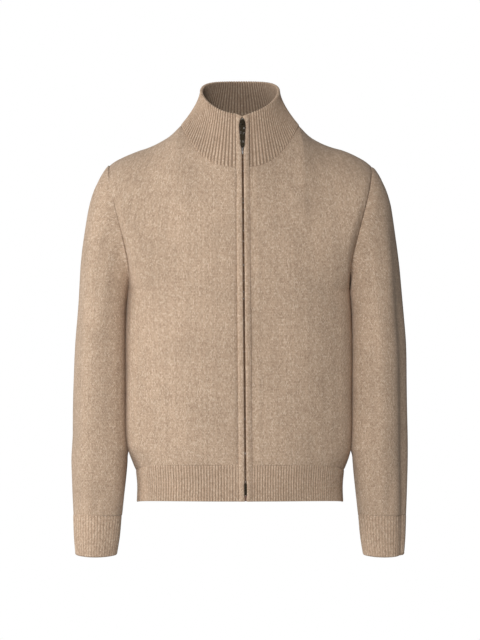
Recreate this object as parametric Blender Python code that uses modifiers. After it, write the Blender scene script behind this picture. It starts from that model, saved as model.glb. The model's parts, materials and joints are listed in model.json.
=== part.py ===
"""A zip-up cardigan in fine wool jersey, with a ribbed funnel collar, hem and cuffs.

It is filled out, as it hangs on a wearer's shoulders. Metres, +Z up. The front faces -Y and +X is
the wearer's left. The origin is between the shoulders, midway between front and back.

The body is laid out by two numbers. A share runs round each half, from 0 at the centre line to 1 at
the side seam or armhole. A level runs up it, from -1 at the hem seam, through 0 at the underarm, to
1 at the neckline and shoulder seam.
"""

import math
from collections import namedtuple

import bmesh
import bpy
import numpy as np
from mathutils import Matrix, Vector

COLLECTION = "zip_cardigan"
QUARTER = math.pi / 2

# Cloth
JERSEY_WALL = 0.0020
RIB_WALL = 0.0024
COLLAR_WALL = 0.0034
RIB_HEIGHT = 0.0009
SEAM_GAP = 0.0003
CURVED_SEAM_GAP = 0.00045  # at the neckline and armholes, where the walls' edges twist
ROUND = 0.8  # power of the squared-off rounds of the body; 1 is an ellipse

# Body: heights above the origin and half widths
NECK_FRONT = -0.0345
NECK_BACK = 0.0360
NECK_SIDE = 0.0420
NECK_SIDE_SWEEP = 2.8  # how late the neckline rises to its sides
NECK_HALF = 0.1035
NECK_SHARE = 0.5  # the share at which the shoulder seam meets the neckline
SHOULDER_TIP_X = 0.2300
UNDERARM = -0.2450
UNDERARM_HALF = 0.1930
ARMHOLE_LEAN = 3.2
ARMHOLE_LAG = 0.25
NECK_TURN = 0.45
HEM_SEAM = -0.5463
HEM_BOTTOM = -0.6070
# How much lower the hem's seam and its bottom hang at the sides, where the jersey blouses over the rib
SEAM_DROP = 0.0147
BOTTOM_DROP = 0.0057

# height, half width
BODY_HALF = (
    (HEM_SEAM, 0.1815),
    (-0.5360, 0.1864),
    (-0.5240, 0.1912),
    (-0.5100, 0.1945),
    (-0.4900, 0.1960),
    (-0.4000, 0.1965),
    (-0.3300, 0.1960),
    (UNDERARM, UNDERARM_HALF),
)
# height, depth in front of the middle
FRONT_DEPTH = (
    (HEM_BOTTOM, 0.1085),
    (-0.5750, 0.1085),
    (HEM_SEAM, 0.1095),
    (-0.5200, 0.1120),
    (-0.4800, 0.1140),
    (-0.3800, 0.1165),
    (-0.2450, 0.1185),
    (-0.1500, 0.1150),
    (-0.0800, 0.1060),
    (NECK_FRONT, 0.0960),
)
# height, depth behind the middle
BACK_DEPTH = (
    (HEM_BOTTOM, 0.1010),
    (-0.5750, 0.1000),
    (HEM_SEAM, 0.1010),
    (-0.5200, 0.1050),
    (-0.4000, 0.1060),
    (-0.2450, 0.1110),
    (-0.1200, 0.1120),
    (-0.0300, 0.1000),
    (NECK_BACK, 0.0750),
)
# distance from the centre line, height of the shoulder seam
SHOULDER = (
    (NECK_HALF, NECK_SIDE),
    (0.1210, 0.0263),
    (0.1380, 0.0158),
    (0.1610, 0.0053),
    (0.1785, 0.0000),
    (0.2048, -0.0105),
    (0.2220, -0.0197),
    (SHOULDER_TIP_X, -0.0262),
    (0.2380, -0.0370),  # past the seam, for its slope
)
# height, half width of the hem rib
HEM_HALF = ((HEM_BOTTOM, 0.1800), (-0.5750, 0.1792), (HEM_SEAM, 0.1815))

Face = namedtuple("Face", "sign depths neck_height neck_depth armhole_depth")
FRONT = Face(-1, FRONT_DEPTH, NECK_FRONT, 0.0960, 0.0750)
BACK = Face(1, BACK_DEPTH, NECK_BACK, 0.0750, 0.0700)

# Sleeves: height, inner side, outer side, middle of the depth, half depth
SLEEVE = (
    (-0.6370, 0.2074, 0.2893, -0.0220, 0.0325),
    (-0.6000, 0.2036, 0.2912, -0.0190, 0.0385),
    (-0.5700, 0.2003, 0.2922, -0.0160, 0.0435),
    (-0.5400, 0.1978, 0.2930, -0.0120, 0.0480),
    (-0.4800, 0.1980, 0.2935, -0.0070, 0.0550),
    (-0.4000, 0.1985, 0.2922, -0.0030, 0.0610),
    (-0.3350, 0.1990, 0.2900, -0.0010, 0.0660),
    (-0.2900, 0.1985, 0.2862, 0.0000, 0.0690),
)
SLEEVE_START = -0.2900
CUFF_SEAM = -0.6370
CUFF = (
    (-0.7085, 0.2160, 0.2848, -0.0250, 0.0245),
    (-0.6750, 0.2112, 0.2872, -0.0240, 0.0275),
    (CUFF_SEAM, 0.2080, 0.2887, -0.0220, 0.0318),
)
CUFF_BOTTOM = -0.7085

# Collar
COLLAR_TOP_HALF = 0.0690
COLLAR_TOP_FRONT = Vector((-0.0680, 0.0592))  # depth and height of its top at the front
COLLAR_TOP_BACK = Vector((0.0580, 0.1250))
COLLAR_SIDE_LIFT = 0.0127
COLLAR_FLARE = 0.6

# Ribs round each half or piece
HEM_RIBS_FRONT = 48
HEM_RIBS_BACK = 100
CUFF_RIBS = 42
COLLAR_RIBS = 92

# Zip, measured out from its own centre line; depths are from the cloth's face, outwards
ZIP_TOP_X = 0.0040
ZIP_HEM_X = 0.0098
BAND_INNER = 0.0021
BAND_OUTER = 0.0115
BAND_CROWN = 0.0016
BAND_BACK = -0.0021
BAND_PARTED_BY_BOX = 0.0008
BAND_TOP = 0.0588
BAND_NOTCH = 0.0050  # how much lower the bands' tops are beside the zip than at their outer edges
# height, distance from the zip's centre line to a band's inner edge, pushed aside by the slider
BAND_PARTED = (
    (-0.0120, BAND_INNER),
    (-0.0020, 0.0026),
    (0.0040, 0.0037),
    (0.0107, 0.0042),
    (0.0223, 0.0050),
    (0.0300, 0.0057),
    (0.0350, 0.0059),
    (0.0400, 0.0055),
    (0.0460, 0.0044),
    (0.0505, 0.0034),
    (0.0545, 0.0012),
    (BAND_TOP, 0.0006),
)
TEETH_HALF = 0.0018
TEETH_FRONT = -0.0012
TAPE_FRONT = BAND_BACK - SEAM_GAP
TAPE_WALL = 0.0010
TAPE_OUTER = 0.0108
TAPE_STEP = -0.5786
BOX_HALF = 0.0025
BOX_TOP = -0.5777
BOX_BOTTOM = -0.5977

# Slider and pull tab: across, up the zip and out from the cloth's face
SLIDER_HEIGHT = 0.0425
SLIDER_LENGTH = 0.0150
# distance up the slider from its middle, half width
SLIDER_HALF = ((-0.0075, 0.0048), (-0.0040, 0.0054), (0.0075, 0.0029))
SLIDER_FACE = 0.0009
SLIDER_PLATE = 0.0016
BRIDGE_HALF = 0.0011
HINGE_UP = 0.0030
HINGE_OUT = 0.0030
PULL_LENGTH = 0.0480
PULL_THICKNESS = 0.0014
PULL_HALF = 0.0036
PULL_WIDEST_HALF = 0.0044
PULL_TIP_HALF = 0.0034
PULL_BAR = 0.0016
PULL_WINDOW_HALF = 0.0016
PULL_WINDOW_LENGTH = 0.0080


def colour(red, green, blue):
    """A colour of 0 to 255 values as the linear one that a material takes."""
    return tuple(((c / 255 + 0.055) / 1.055) ** 2.4 for c in (red, green, blue)) + (1.0,)


Look = namedtuple("Look", "tint roughness metallic")
JERSEY = Look(colour(184, 158, 135), 0.95, 0.0)
RIB = Look(colour(177, 151, 129), 0.95, 0.0)
TWILL = Look(colour(92, 74, 60), 0.90, 0.0)
DARK_METAL = Look(colour(74, 70, 66), 0.40, 1.0)
PULL_METAL = Look(colour(58, 48, 41), 0.45, 1.0)


def make_material(name, look):
    made = bpy.data.materials.new(name)
    made.use_nodes = True
    shader = made.node_tree.nodes["Principled BSDF"]
    shader.inputs["Base Color"].default_value = look.tint
    shader.inputs["Roughness"].default_value = look.roughness
    shader.inputs["Metallic"].default_value = look.metallic
    return made


# Curves and rounds


def on_curve(table, place):
    """The values at a place on smooth curves through a table whose first column holds the places."""
    rows = np.array(table, float)
    places, values = rows[:, 0], rows[:, 1:]
    slopes = np.gradient(values, places, axis=0)
    below = int(np.clip(np.searchsorted(places, place) - 1, 0, len(places) - 2))
    span = places[below + 1] - places[below]
    t = float(np.clip((place - places[below]) / span, 0, 1))
    blend = t * t * (3 - 2 * t)
    value = values[below] * (1 - blend) + values[below + 1] * blend
    value += span * t * (1 - t) * ((1 - t) * slopes[below] - t * slopes[below + 1])
    return value


def part_round(share, turn):
    """How far along and in a point lies, 0 to 1, on the first `turn` radians of a squared-off round."""
    along = (math.sin(share * turn) / math.sin(turn)) ** ROUND
    inward = (1 - max(math.cos(share * turn), 0.0) ** ROUND) / (1 - max(math.cos(turn), 0.0) ** ROUND)
    return along, inward


def bump(place, low, high, edge):
    """1 between low and high, falling to 0 over `edge` on either side."""
    outside = max(low - place, place - high, 0.0) / edge
    return 0.5 + 0.5 * math.cos(math.pi * min(outside, 1.0))


def evenly(path, count):
    """`count` + 1 places along a path of points, evenly spaced, as numbers of its own points."""
    steps = np.linalg.norm(np.diff(path, axis=0), axis=1)
    run = np.concatenate([[0.0], np.cumsum(steps)])
    return np.interp(np.linspace(0, run[-1], count + 1), run, np.arange(len(path)))


def between(path, place):
    """The point at a place on a path, as a number of its own points."""
    before = min(int(place), len(path) - 2)
    return path[before] + (path[before + 1] - path[before]) * (place - before)


def unit(vectors):
    return vectors / np.linalg.norm(vectors, axis=-1, keepdims=True)


def normals(points, ring=False):
    """The normal at each point of a grid [row][column]; a ring's last column meets its first."""
    grid = np.concatenate([points, points[:, :1]], axis=1) if ring else points
    faces = np.cross(grid[1:, 1:] - grid[:-1, :-1], grid[:-1, 1:] - grid[1:, :-1])
    total = np.zeros_like(grid)
    for row in (0, 1):
        for column in (0, 1):
            height, width = faces.shape[:2]
            total[row : row + height, column : column + width] += faces
    if ring:
        total[:, 0] += total[:, -1]
        total = total[:, :-1]
    return unit(total)


# Making objects


def add_object(name, data, look):
    made = bpy.data.objects.new(name, data)
    made.data.materials.append(make_material(name, look))
    bpy.data.collections[COLLECTION].objects.link(made)
    return made


def wall(name, outer, inner, look, ring=False):
    """A closed wall of cloth between two grids of points, [row][column].

    The inner grid may have fewer columns, in a whole ratio, and fewer rows. A ring's last column
    meets its first; any other wall is closed at its sides too.
    """
    shape = bmesh.new()
    skins = [[[shape.verts.new(point) for point in row] for row in grid] for grid in (outer, inner)]
    for skin in skins:
        for low, high in zip(skin, skin[1:]):
            for i in range(len(low) - (not ring)):
                j = (i + 1) % len(low)
                shape.faces.new((low[i], low[j], high[j], high[i]))
    for row in (0, -1):
        close_rim(shape, skins[0][row], skins[1][row], ring)
    if not ring:
        for column in (0, -1):
            sides = [[row[column] for row in skin] for skin in skins]
            if len(sides[0]) == len(sides[1]):
                close_rim(shape, *sides, ring)
            else:
                shape.faces.new(sides[0] + sides[1][::-1])
    bmesh.ops.recalc_face_normals(shape, faces=shape.faces)
    mesh = bpy.data.meshes.new(name)
    shape.to_mesh(mesh)
    shape.free()
    mesh.shade_smooth()
    mesh.set_sharp_from_angle(angle=math.radians(40))
    return add_object(name, mesh, look)


def close_rim(shape, fine, coarse, ring):
    """Faces between a row of points and one with as many or fewer, in a whole ratio."""
    spans = len(coarse) - (not ring)
    ratio = (len(fine) - (not ring)) // spans
    for i in range(spans):
        near, far = coarse[i], coarse[(i + 1) % len(coarse)]
        run = [fine[(i * ratio + k) % len(fine)] for k in range(ratio + 1)]
        if ratio == 1:
            shape.faces.new((run[0], run[1], far, near))
            continue
        half = ratio // 2
        for k in range(ratio):
            shape.faces.new((run[k], run[k + 1], near if k < half else far))
        shape.faces.new((near, run[half], far))


def ribbed(name, plain, out, wall_depth, inner_rows, ratio, ring=False, inner=None):
    """A wall whose outer points rise on every other column, over a plain inside."""
    outer = plain.copy()
    outer[:, 1::2] += out[:, 1::2] * RIB_HEIGHT
    if inner is None:
        inner = plain - out * wall_depth
    return wall(name, outer, inner[inner_rows, ::ratio], RIB, ring)


def mirrored(points, side):
    """Points of the wearer's left half, or of the right one where side is -1."""
    return points * (side, 1, 1)


# Body


def shoulder_height(x):
    return on_curve(SHOULDER, x)[0]


def top_edge(face, share):
    """A point of the neckline, or past NECK_SHARE of the shoulder seam."""
    if share > NECK_SHARE:
        x = NECK_HALF + (SHOULDER_TIP_X - NECK_HALF) * (share - NECK_SHARE) / (1 - NECK_SHARE)
        return np.array((x, 0.0, shoulder_height(x)))
    angle = QUARTER * share / NECK_SHARE
    height = face.neck_height + (NECK_SIDE - face.neck_height) * math.sin(angle) ** NECK_SIDE_SWEEP
    return np.array((NECK_HALF * math.sin(angle), face.sign * face.neck_depth * math.cos(angle), height))


def body_row(face, share, rise, edge_rise):
    """A point of the body above the underarm before its top is drawn to the neck and shoulder."""
    depth = on_curve(face.depths, UNDERARM + (face.neck_height - UNDERARM) * rise)[0]
    edge_x = UNDERARM_HALF + (SHOULDER_TIP_X - UNDERARM_HALF) * edge_rise**ARMHOLE_LEAN
    # Away from the armhole the body takes up its shape more slowly, so that no crease runs round it.
    reached = edge_rise * (edge_rise / (edge_rise + ARMHOLE_LAG)) ** (3 * (1 - share) ** 2)
    edge_depth = face.armhole_depth * 2 * math.sqrt(max(reached * (1 - edge_rise), 0.0))
    turn = math.acos((edge_depth / depth) ** (1 / ROUND))
    along, inward = part_round(share, turn)
    return np.array((edge_x * along, face.sign * (depth + (edge_depth - depth) * inward), 0.0))


def body_point(face, share, level):
    """A point of the outer face of the wearer's left half of the body."""
    if level <= 0:
        height = HEM_SEAM + (UNDERARM - HEM_SEAM) * (1 + level)
        along, inward = part_round(share, QUARTER)
        depth = on_curve(face.depths, height)[0]
        drop = SEAM_DROP * share**3 * level**2
        x = on_curve(BODY_HALF, height)[0] * along
        return np.array((x, face.sign * depth * (1 - inward), height - drop))
    # A column turns right over at the shoulder seam, and less at the neckline towards its middle.
    turn = QUARTER * (NECK_TURN + (1 - NECK_TURN) * min(share / NECK_SHARE, 1.0) ** 1.5)
    rise = math.sin(level * turn) / math.sin(turn)
    turned = (1 - math.cos(level * turn)) / (1 - math.cos(turn))
    top = top_edge(face, share)
    edge_rise = math.sin(level * QUARTER)
    point = body_row(face, share, rise, edge_rise)
    point[0] += (top[0] - point[0]) * rise**1.5
    point[1] += (top[1] - body_row(face, share, 1.0, 1.0)[1]) * turned
    point[2] = UNDERARM + (top[2] - UNDERARM) * rise
    return point


LOW_LEVELS = (-1.0, -0.965, -0.92, -0.83, -0.68, -0.5, -0.32, -0.15, 0.0)
HIGH_ROWS = 12
LEVELS = LOW_LEVELS + tuple((k / HIGH_ROWS) ** 1.6 for k in range(1, HIGH_ROWS + 1))
UNDERARM_ROW = len(LOW_LEVELS) - 1
NECK_SPANS = 8
SHOULDER_SPANS = 6


def zip_x(height):
    """The zip's centre line, which leans a little to the wearer's left towards the hem."""
    lean = (COLLAR_TOP_FRONT[1] - height) / (COLLAR_TOP_FRONT[1] - HEM_BOTTOM)
    return ZIP_TOP_X + (ZIP_HEM_X - ZIP_TOP_X) * lean


def front_edge_x(side, height):
    """Where a front meets its zip band, measured out from the garment's centre line."""
    return side * zip_x(height) + BAND_OUTER + SEAM_GAP


def share_at(point_of_share, wanted_x):
    """The share at which a row of the front meets the zip band, found by halving."""
    low, high = 0.0, 0.4
    for _ in range(30):
        middle = (low + high) / 2
        point = point_of_share(middle)
        if point[0] < wanted_x(point[2]):
            low = middle
        else:
            high = middle
    return low


def front_start(side, level):
    return share_at(lambda s: body_point(FRONT, s, level), lambda z: front_edge_x(side, z))


def body_grid(face, side):
    """The outer face of a half of the front or back, from its centre to its side, on the wearer's left."""
    rows = []
    for level in LEVELS:
        start = front_start(side, level) if face is FRONT else 0.0
        by_neck = np.linspace(start, NECK_SHARE, NECK_SPANS + 1)
        by_shoulder = np.linspace(NECK_SHARE, 1, SHOULDER_SPANS + 1)
        shares = np.concatenate([by_neck, by_shoulder[1:]])
        rows.append([body_point(face, share, level) for share in shares])
    return np.array(rows)


def body_out(points):
    """The outward direction at each point of a half, along the seams the same on both pieces."""
    out = normals(points)
    out *= np.sign(out[UNDERARM_ROW // 2, -2, 0])
    out[0, :, 2] = 0
    out[: UNDERARM_ROW + 1, -1] = (1, 0, 0)
    out[:, 0, 0] = 0
    for column in range(NECK_SPANS, points.shape[1]):
        x = points[-1, column, 0]
        step = 0.002
        slope = (shoulder_height(x + step) - shoulder_height(x - step)) / (2 * step)
        out[-1, column] = (-slope, 0, 1)
    return unit(out)


def parted(face, points):
    """The points of a half with its side and shoulder seams drawn back by half a seam's gap."""
    points = points.copy()
    points[: UNDERARM_ROW + 1, -1, 1] += face.sign * SEAM_GAP / 2
    points[-1, NECK_SPANS:, 1] += face.sign * SEAM_GAP / 2
    return points


def build_front(side, name):
    points = body_grid(FRONT, side)
    inner = points - body_out(points) * JERSEY_WALL
    grids = [mirrored(parted(FRONT, grid), side) for grid in (points, inner)]
    wall(name, *grids, JERSEY)


def build_back():
    points = body_grid(BACK, 1)
    inner = points - body_out(points) * JERSEY_WALL
    grids = []
    for half in (parted(BACK, points), parted(BACK, inner)):
        grids.append(np.concatenate([mirrored(half, -1)[:, :0:-1], half], axis=1))
    wall("back", *grids, JERSEY)


# Hem rib


def hem_point(face, share, height):
    along, inward = part_round(share, QUARTER)
    depth = on_curve(face.depths, height)[0]
    x = on_curve(HEM_HALF, height)[0] * along
    rise = (height - HEM_BOTTOM) / (HEM_SEAM - HEM_BOTTOM)
    drop = BOTTOM_DROP + (SEAM_DROP - BOTTOM_DROP) * rise
    return np.array((x, face.sign * depth * (1 - inward), height - drop * share**3))


HEM_HEIGHTS = (HEM_BOTTOM, -0.5750, HEM_SEAM - SEAM_GAP)


def hem_grid(face, side, ribs):
    """The plain outer face of half the hem rib, with two columns to a rib."""
    start = 0.0
    if face is FRONT:
        start = share_at(lambda s: hem_point(FRONT, s, -0.5750), lambda z: front_edge_x(side, z))
    fine = np.linspace(start, 1, 200)
    path = np.array([hem_point(face, share, HEM_BOTTOM) for share in fine])
    shares = np.interp(evenly(path, 2 * ribs), np.arange(len(fine)), fine)
    points = np.array([[hem_point(face, share, height) for share in shares] for height in HEM_HEIGHTS])
    if face is FRONT:
        points[:, 0, 0] = [front_edge_x(side, height) for height in HEM_HEIGHTS]
    return points


def hem_out(points):
    out = normals(points)
    out *= np.sign(out[1, -2, 0])
    out[:, :, 2] = 0
    out[:, -1] = (1, 0, 0)
    out[:, 0, 0] = 0
    return unit(out)


def build_hem():
    rows = (0, -1)
    for side, name in ((1, "hem_rib_left"), (-1, "hem_rib_right")):
        plain = hem_grid(FRONT, side, HEM_RIBS_FRONT)
        out = hem_out(plain)
        plain[:, -1, 1] -= SEAM_GAP / 2
        ribbed(name, mirrored(plain, side), mirrored(out, side), RIB_WALL, rows, 4)
    half = hem_grid(BACK, 1, HEM_RIBS_BACK // 2)
    half_out = hem_out(half)
    half[:, -1, 1] += SEAM_GAP / 2
    plain, out = (
        np.concatenate([mirrored(grid, -1)[:, :0:-1], grid], axis=1) for grid in (half, half_out)
    )
    ribbed("hem_rib_back", plain, out, RIB_WALL, rows, 4)


# Sleeves and cuffs

FAN_ROWS = 8
# Heights of the rings below the cap, from the first ring of the sleeve's lower part
SLEEVE_HEIGHTS = (
    (SLEEVE_START - SEAM_GAP, -0.325, -0.365, -0.41, -0.46)
    + (-0.505, -0.54, -0.57, -0.605, CUFF_SEAM + SEAM_GAP)
)
# top, bottom, angle round from the outer side to the front, half width in degrees, depth
SLEEVE_FOLDS = ((-0.27, -0.66, 48.0, 26.0, 0.0030), (-0.33, -0.56, 118.0, 24.0, 0.0020))


def armhole():
    """The body's rim round the wearer's left armhole, from the shoulder by the front to the underarm and
    up the back: its outer and inner points."""
    rims = []
    for face in (FRONT, BACK):
        points = body_grid(face, 1)
        inner = points - body_out(points) * JERSEY_WALL
        rims.append((points[UNDERARM_ROW:, -1], inner[UNDERARM_ROW:, -1]))
    (front, front_inner), (back, back_inner) = rims
    outer = np.concatenate([front[::-1], back[1:-1]])
    return outer, np.concatenate([front_inner[::-1], back_inner[1:-1]])


def leaving_rim(outer, inner, ahead):
    """The direction straight out of a wall's rim, at each of its points."""
    return unit(np.cross(outer - inner, ahead))


def fold_depth(height, angle):
    """How far the sleeve's soft upright folds sink its face."""
    sunk = 0.0
    for top, bottom, centre, half_width, depth in SLEEVE_FOLDS:
        run = bump(height, bottom + 0.1, top - 0.1, 0.1)
        off = (math.degrees(angle) - centre) / half_width
        if abs(off) < 1:
            sunk += depth * run * (0.5 + 0.5 * math.cos(math.pi * off))
    return sunk


def tube_point(table, height, angle):
    """A point round a sleeve or cuff; the angle runs from the outer side to the front."""
    inner_x, outer_x, middle_y, half_depth = on_curve(table, height)
    x = (inner_x + outer_x) / 2 + (outer_x - inner_x) / 2 * math.cos(angle)
    point = np.array((x, middle_y - half_depth * math.sin(angle), height))
    return point


def sleeve_point(height, angle):
    point = tube_point(SLEEVE, height, angle)
    centre = tube_point(SLEEVE, height, 0) * 0.5 + tube_point(SLEEVE, height, math.pi) * 0.5
    return point + unit(centre - point) * fold_depth(height, angle)


def sleeve_angles(rim):
    """The angle at which each point of the armhole's rim runs down the sleeve."""
    bottom = len(rim) // 2
    ring = np.concatenate([rim, rim[:1]])
    run = np.concatenate([[0.0], np.cumsum(np.linalg.norm(np.diff(ring, axis=0), axis=1))])
    front = run[: bottom + 1] / run[bottom] * math.pi
    back = math.pi + (run[bottom + 1 : -1] - run[bottom]) / (run[-1] - run[bottom]) * math.pi
    return np.concatenate([front, back])


def sleeve_grid():
    """The wearer's left sleeve's outer face, as rings from armhole to cuff, and its first inner ring."""
    rim, rim_inner = armhole()
    ahead = np.roll(rim, -1, axis=0) - np.roll(rim, 1, axis=0)
    leaving = leaving_rim(rim, rim_inner, ahead)
    start = rim + leaving * CURVED_SEAM_GAP
    angles = sleeve_angles(rim)
    rings = []
    end = np.array([sleeve_point(SLEEVE_START, angle) for angle in angles])
    past = np.array([sleeve_point(SLEEVE_START - 0.01, angle) for angle in angles])
    over = ((1 + np.cos(angles)) / 2)[:, None]
    first_pull = leaving * (0.016 + 0.14 * over**1.2)
    last_pull = unit(past - end) * (0.05 + 0.34 * over)
    for k in range(FAN_ROWS + 1):
        t = (k / FAN_ROWS) ** 1.5
        blend = t * t * (3 - 2 * t)
        ring = start * (1 - blend) + end * blend
        rings.append(ring + first_pull * t * (1 - t) ** 2 - last_pull * t * t * (1 - t))
    for height in SLEEVE_HEIGHTS:
        rings.append(np.array([sleeve_point(height, angle) for angle in angles]))
    return np.array(rings), rim_inner + leaving * CURVED_SEAM_GAP


def build_sleeves():
    points, first_inner = sleeve_grid()
    out = normals(points, ring=True)
    out *= np.sign(out[-3, 0, 0])
    parted = FAN_ROWS + 1
    out[(parted - 1, parted, -1), :, 2] = 0
    inner = points - unit(out) * JERSEY_WALL
    inner[0] = first_inner
    # Each sleeve is one piece of cloth, but its solid is parted across, so that its hollow stays open.
    for side, name in ((1, "sleeve_left"), (-1, "sleeve_right")):
        for part, rings in (("upper", slice(0, parted)), ("lower", slice(parted, None))):
            outer_wall, inner_wall = mirrored(points[rings], side), mirrored(inner[rings], side)
            wall(f"{name}_{part}", outer_wall, inner_wall, JERSEY, ring=True)


def build_cuffs():
    heights = (CUFF_BOTTOM, -0.6750, CUFF_SEAM)
    fine = np.linspace(0, 2 * math.pi, 400)
    path = np.array([tube_point(CUFF, CUFF_BOTTOM, angle) for angle in fine])
    angles = np.interp(evenly(path, 2 * CUFF_RIBS), np.arange(len(fine)), fine)[:-1]
    plain = np.array([[tube_point(CUFF, height, angle) for angle in angles] for height in heights])
    out = normals(plain, ring=True)
    out *= np.sign(out[1, 0, 0])
    out[:, :, 2] = 0
    out = unit(out)
    for side, name in ((1, "cuff_left"), (-1, "cuff_right")):
        ribbed(name, mirrored(plain, side), mirrored(out, side), RIB_WALL, (0, -1), 2, ring=True)


# Collar

COLLAR_RISES = (0.0, 0.22, 0.5, 0.78, 0.965, 1.0)
COLLAR_INNER_ROWS = (0, 2, 4, 5)


def collar_top(angle):
    """A point of the collar's top edge; the angle runs from the front by the wearer's left to the back."""
    forward, sideways = math.cos(angle), math.sin(angle)
    depth = -COLLAR_TOP_FRONT[0] if forward > 0 else COLLAR_TOP_BACK[0]
    height = COLLAR_TOP_FRONT[1] + (COLLAR_TOP_BACK[1] - COLLAR_TOP_FRONT[1]) * (1 - forward) / 2
    return np.array((COLLAR_TOP_HALF * sideways, -depth * forward, height + COLLAR_SIDE_LIFT * sideways**2))


def neck_rim():
    """The body's rim round the neck, from the left front's zip edge to the right's: outer and inner."""
    rims = []
    for inset in (0.0, JERSEY_WALL):
        halves = []
        for side in (1, -1):
            front = body_grid(FRONT, side)
            back = body_grid(BACK, 1)
            front = (front - body_out(front) * inset)[-1, : NECK_SPANS + 1]
            back = (back - body_out(back) * inset)[-1, :NECK_SPANS]
            halves.append(mirrored(np.concatenate([front, back[::-1]]), side))
        rims.append(np.concatenate([halves[0], halves[1][-2::-1]]))
    return rims


def collar_grid():
    """The collar's plain outer face, two columns to a rib, and its first inner row."""
    rim, rim_inner = neck_rim()
    places = evenly(rim, 2 * COLLAR_RIBS)
    base = np.array([between(rim, place) for place in places])
    base_inner = np.array([between(rim_inner, place) for place in places])
    first = math.asin(front_edge_x(1, COLLAR_TOP_FRONT[1]) / COLLAR_TOP_HALF)
    last = 2 * math.pi - math.asin(front_edge_x(-1, COLLAR_TOP_FRONT[1]) / COLLAR_TOP_HALF)
    angles = np.linspace(first, last, len(places))
    top = np.array([collar_top(angle) for angle in angles])
    rows = []
    for rise in COLLAR_RISES:
        flare = (1 - rise) ** (1 + COLLAR_FLARE * np.sin(angles) ** 2)
        row = top + (base - top) * flare[:, None]
        row[:, 2] = base[:, 2] + (top[:, 2] - base[:, 2]) * rise
        rows.append(row)
    rows = np.array(rows)
    lift = leaving_rim(base, base_inner, np.gradient(base, axis=0)) * CURVED_SEAM_GAP
    rows[0] += lift
    return rows, base_inner + lift


def build_collar():
    plain, base_inner = collar_grid()
    out = normals(plain)
    out *= np.sign(out[2, len(out[2]) // 4, 0])
    for column in (0, -1):
        out[:, column, 0] = 0
    out = unit(out)
    inner = plain - out * COLLAR_WALL
    inner[0] = base_inner
    # At the seam the ribs rise along the body's own normal.
    out[0] = unit(plain[0] - base_inner)
    plain[-1] -= out[-1] * COLLAR_WALL * 0.3
    inner[-1] += out[-1] * COLLAR_WALL * 0.3
    ribbed("collar", plain, out, COLLAR_WALL, COLLAR_INNER_ROWS, 2, inner=inner)


# Zip


def face_depth(height):
    """How far in front of the middle the cloth's face lies beside the zip."""
    if height <= NECK_FRONT:
        return on_curve(FRONT_DEPTH, height)[0]
    rise = (height - NECK_FRONT) / (COLLAR_TOP_FRONT[1] - NECK_FRONT)
    return FRONT.neck_depth + (-COLLAR_TOP_FRONT[0] - FRONT.neck_depth) * rise


def beside_zip(height, across, out):
    """A point beside the zip at a height, so far across from its centre line and out from the cloth."""
    step = 0.004
    lean = (face_depth(height + step) - face_depth(height - step)) / (2 * step)
    upright = math.hypot(1, lean)
    return np.array(
        (zip_x(height) + across, -face_depth(height) - out / upright, height - out * lean / upright)
    )


def zip_strip(name, section_at, heights, side, look, fall=lambda height, across: 0.0):
    """A closed strip beside the zip, with a section of (across, out) points at each height.

    `fall` is how much lower a point lies than its section's height.
    """
    rows = [
        [beside_zip(height - fall(height, across), side * across, out) for across, out in section_at(height)]
        for height in heights
    ]
    shape = bmesh.new()
    rings = [[shape.verts.new(point) for point in row] for row in rows]
    for low, high in zip(rings, rings[1:]):
        for i in range(len(low)):
            j = (i + 1) % len(low)
            shape.faces.new((low[i], low[j], high[j], high[i]))
    for ring in (rings[0], rings[-1]):
        shape.faces.new(ring)
    bmesh.ops.recalc_face_normals(shape, faces=shape.faces)
    mesh = bpy.data.meshes.new(name)
    shape.to_mesh(mesh)
    shape.free()
    mesh.shade_smooth()
    mesh.set_sharp_from_angle(angle=math.radians(50))
    return add_object(name, mesh, look)


def band_section(height):
    """A softly rounded band, pushed aside where the slider and the retaining box stand."""
    near = np.interp(height, *zip(*BAND_PARTED))
    near += BAND_PARTED_BY_BOX * bump(height, BOX_BOTTOM, BOX_TOP, 0.0060)
    shoulder = 0.0012
    crown = BAND_CROWN * min(1, 1 - 0.3 * (near - BAND_INNER) / 0.0040)
    return (
        (near, -0.0007),
        (near + shoulder, crown * 0.6),
        ((near + BAND_OUTER) / 2, crown),
        (BAND_OUTER - shoulder, crown * 0.5),
        (BAND_OUTER, -0.0008),
        (BAND_OUTER, BAND_BACK),
        (near, BAND_BACK),
    )


def band_fall(height, across):
    """The bands' tops fall to a notch beside the zip."""
    rise = min(max((height - 0.0400) / (BAND_TOP - 0.0400), 0), 1)
    return BAND_NOTCH * rise**2 * (1 - across / BAND_OUTER)


def tape_section(height):
    """A tape, which reaches nearly to the other one below the teeth."""
    near = BAND_INNER if height > TAPE_STEP else 0.0004
    return (
        (near, TAPE_FRONT),
        (TAPE_OUTER, TAPE_FRONT),
        (TAPE_OUTER, TAPE_FRONT - TAPE_WALL),
        (near, TAPE_FRONT - TAPE_WALL),
    )


def teeth_section(_height):
    near = SEAM_GAP / 2
    back = TAPE_FRONT - 0.0007
    return ((near, TEETH_FRONT), (TEETH_HALF, TEETH_FRONT), (TEETH_HALF, back), (near, back))


def box_section(_height):
    back = TAPE_FRONT + SEAM_GAP
    return ((-BOX_HALF, -0.0004), (BOX_HALF, -0.0004), (BOX_HALF, back), (-BOX_HALF, back))


# Heights at which the zip's strips follow the front's bends
FRONT_BENDS = (-0.575, HEM_SEAM, -0.52, -0.48, -0.38, -0.3, -0.2, -0.15, -0.1, -0.065, NECK_FRONT)


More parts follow.
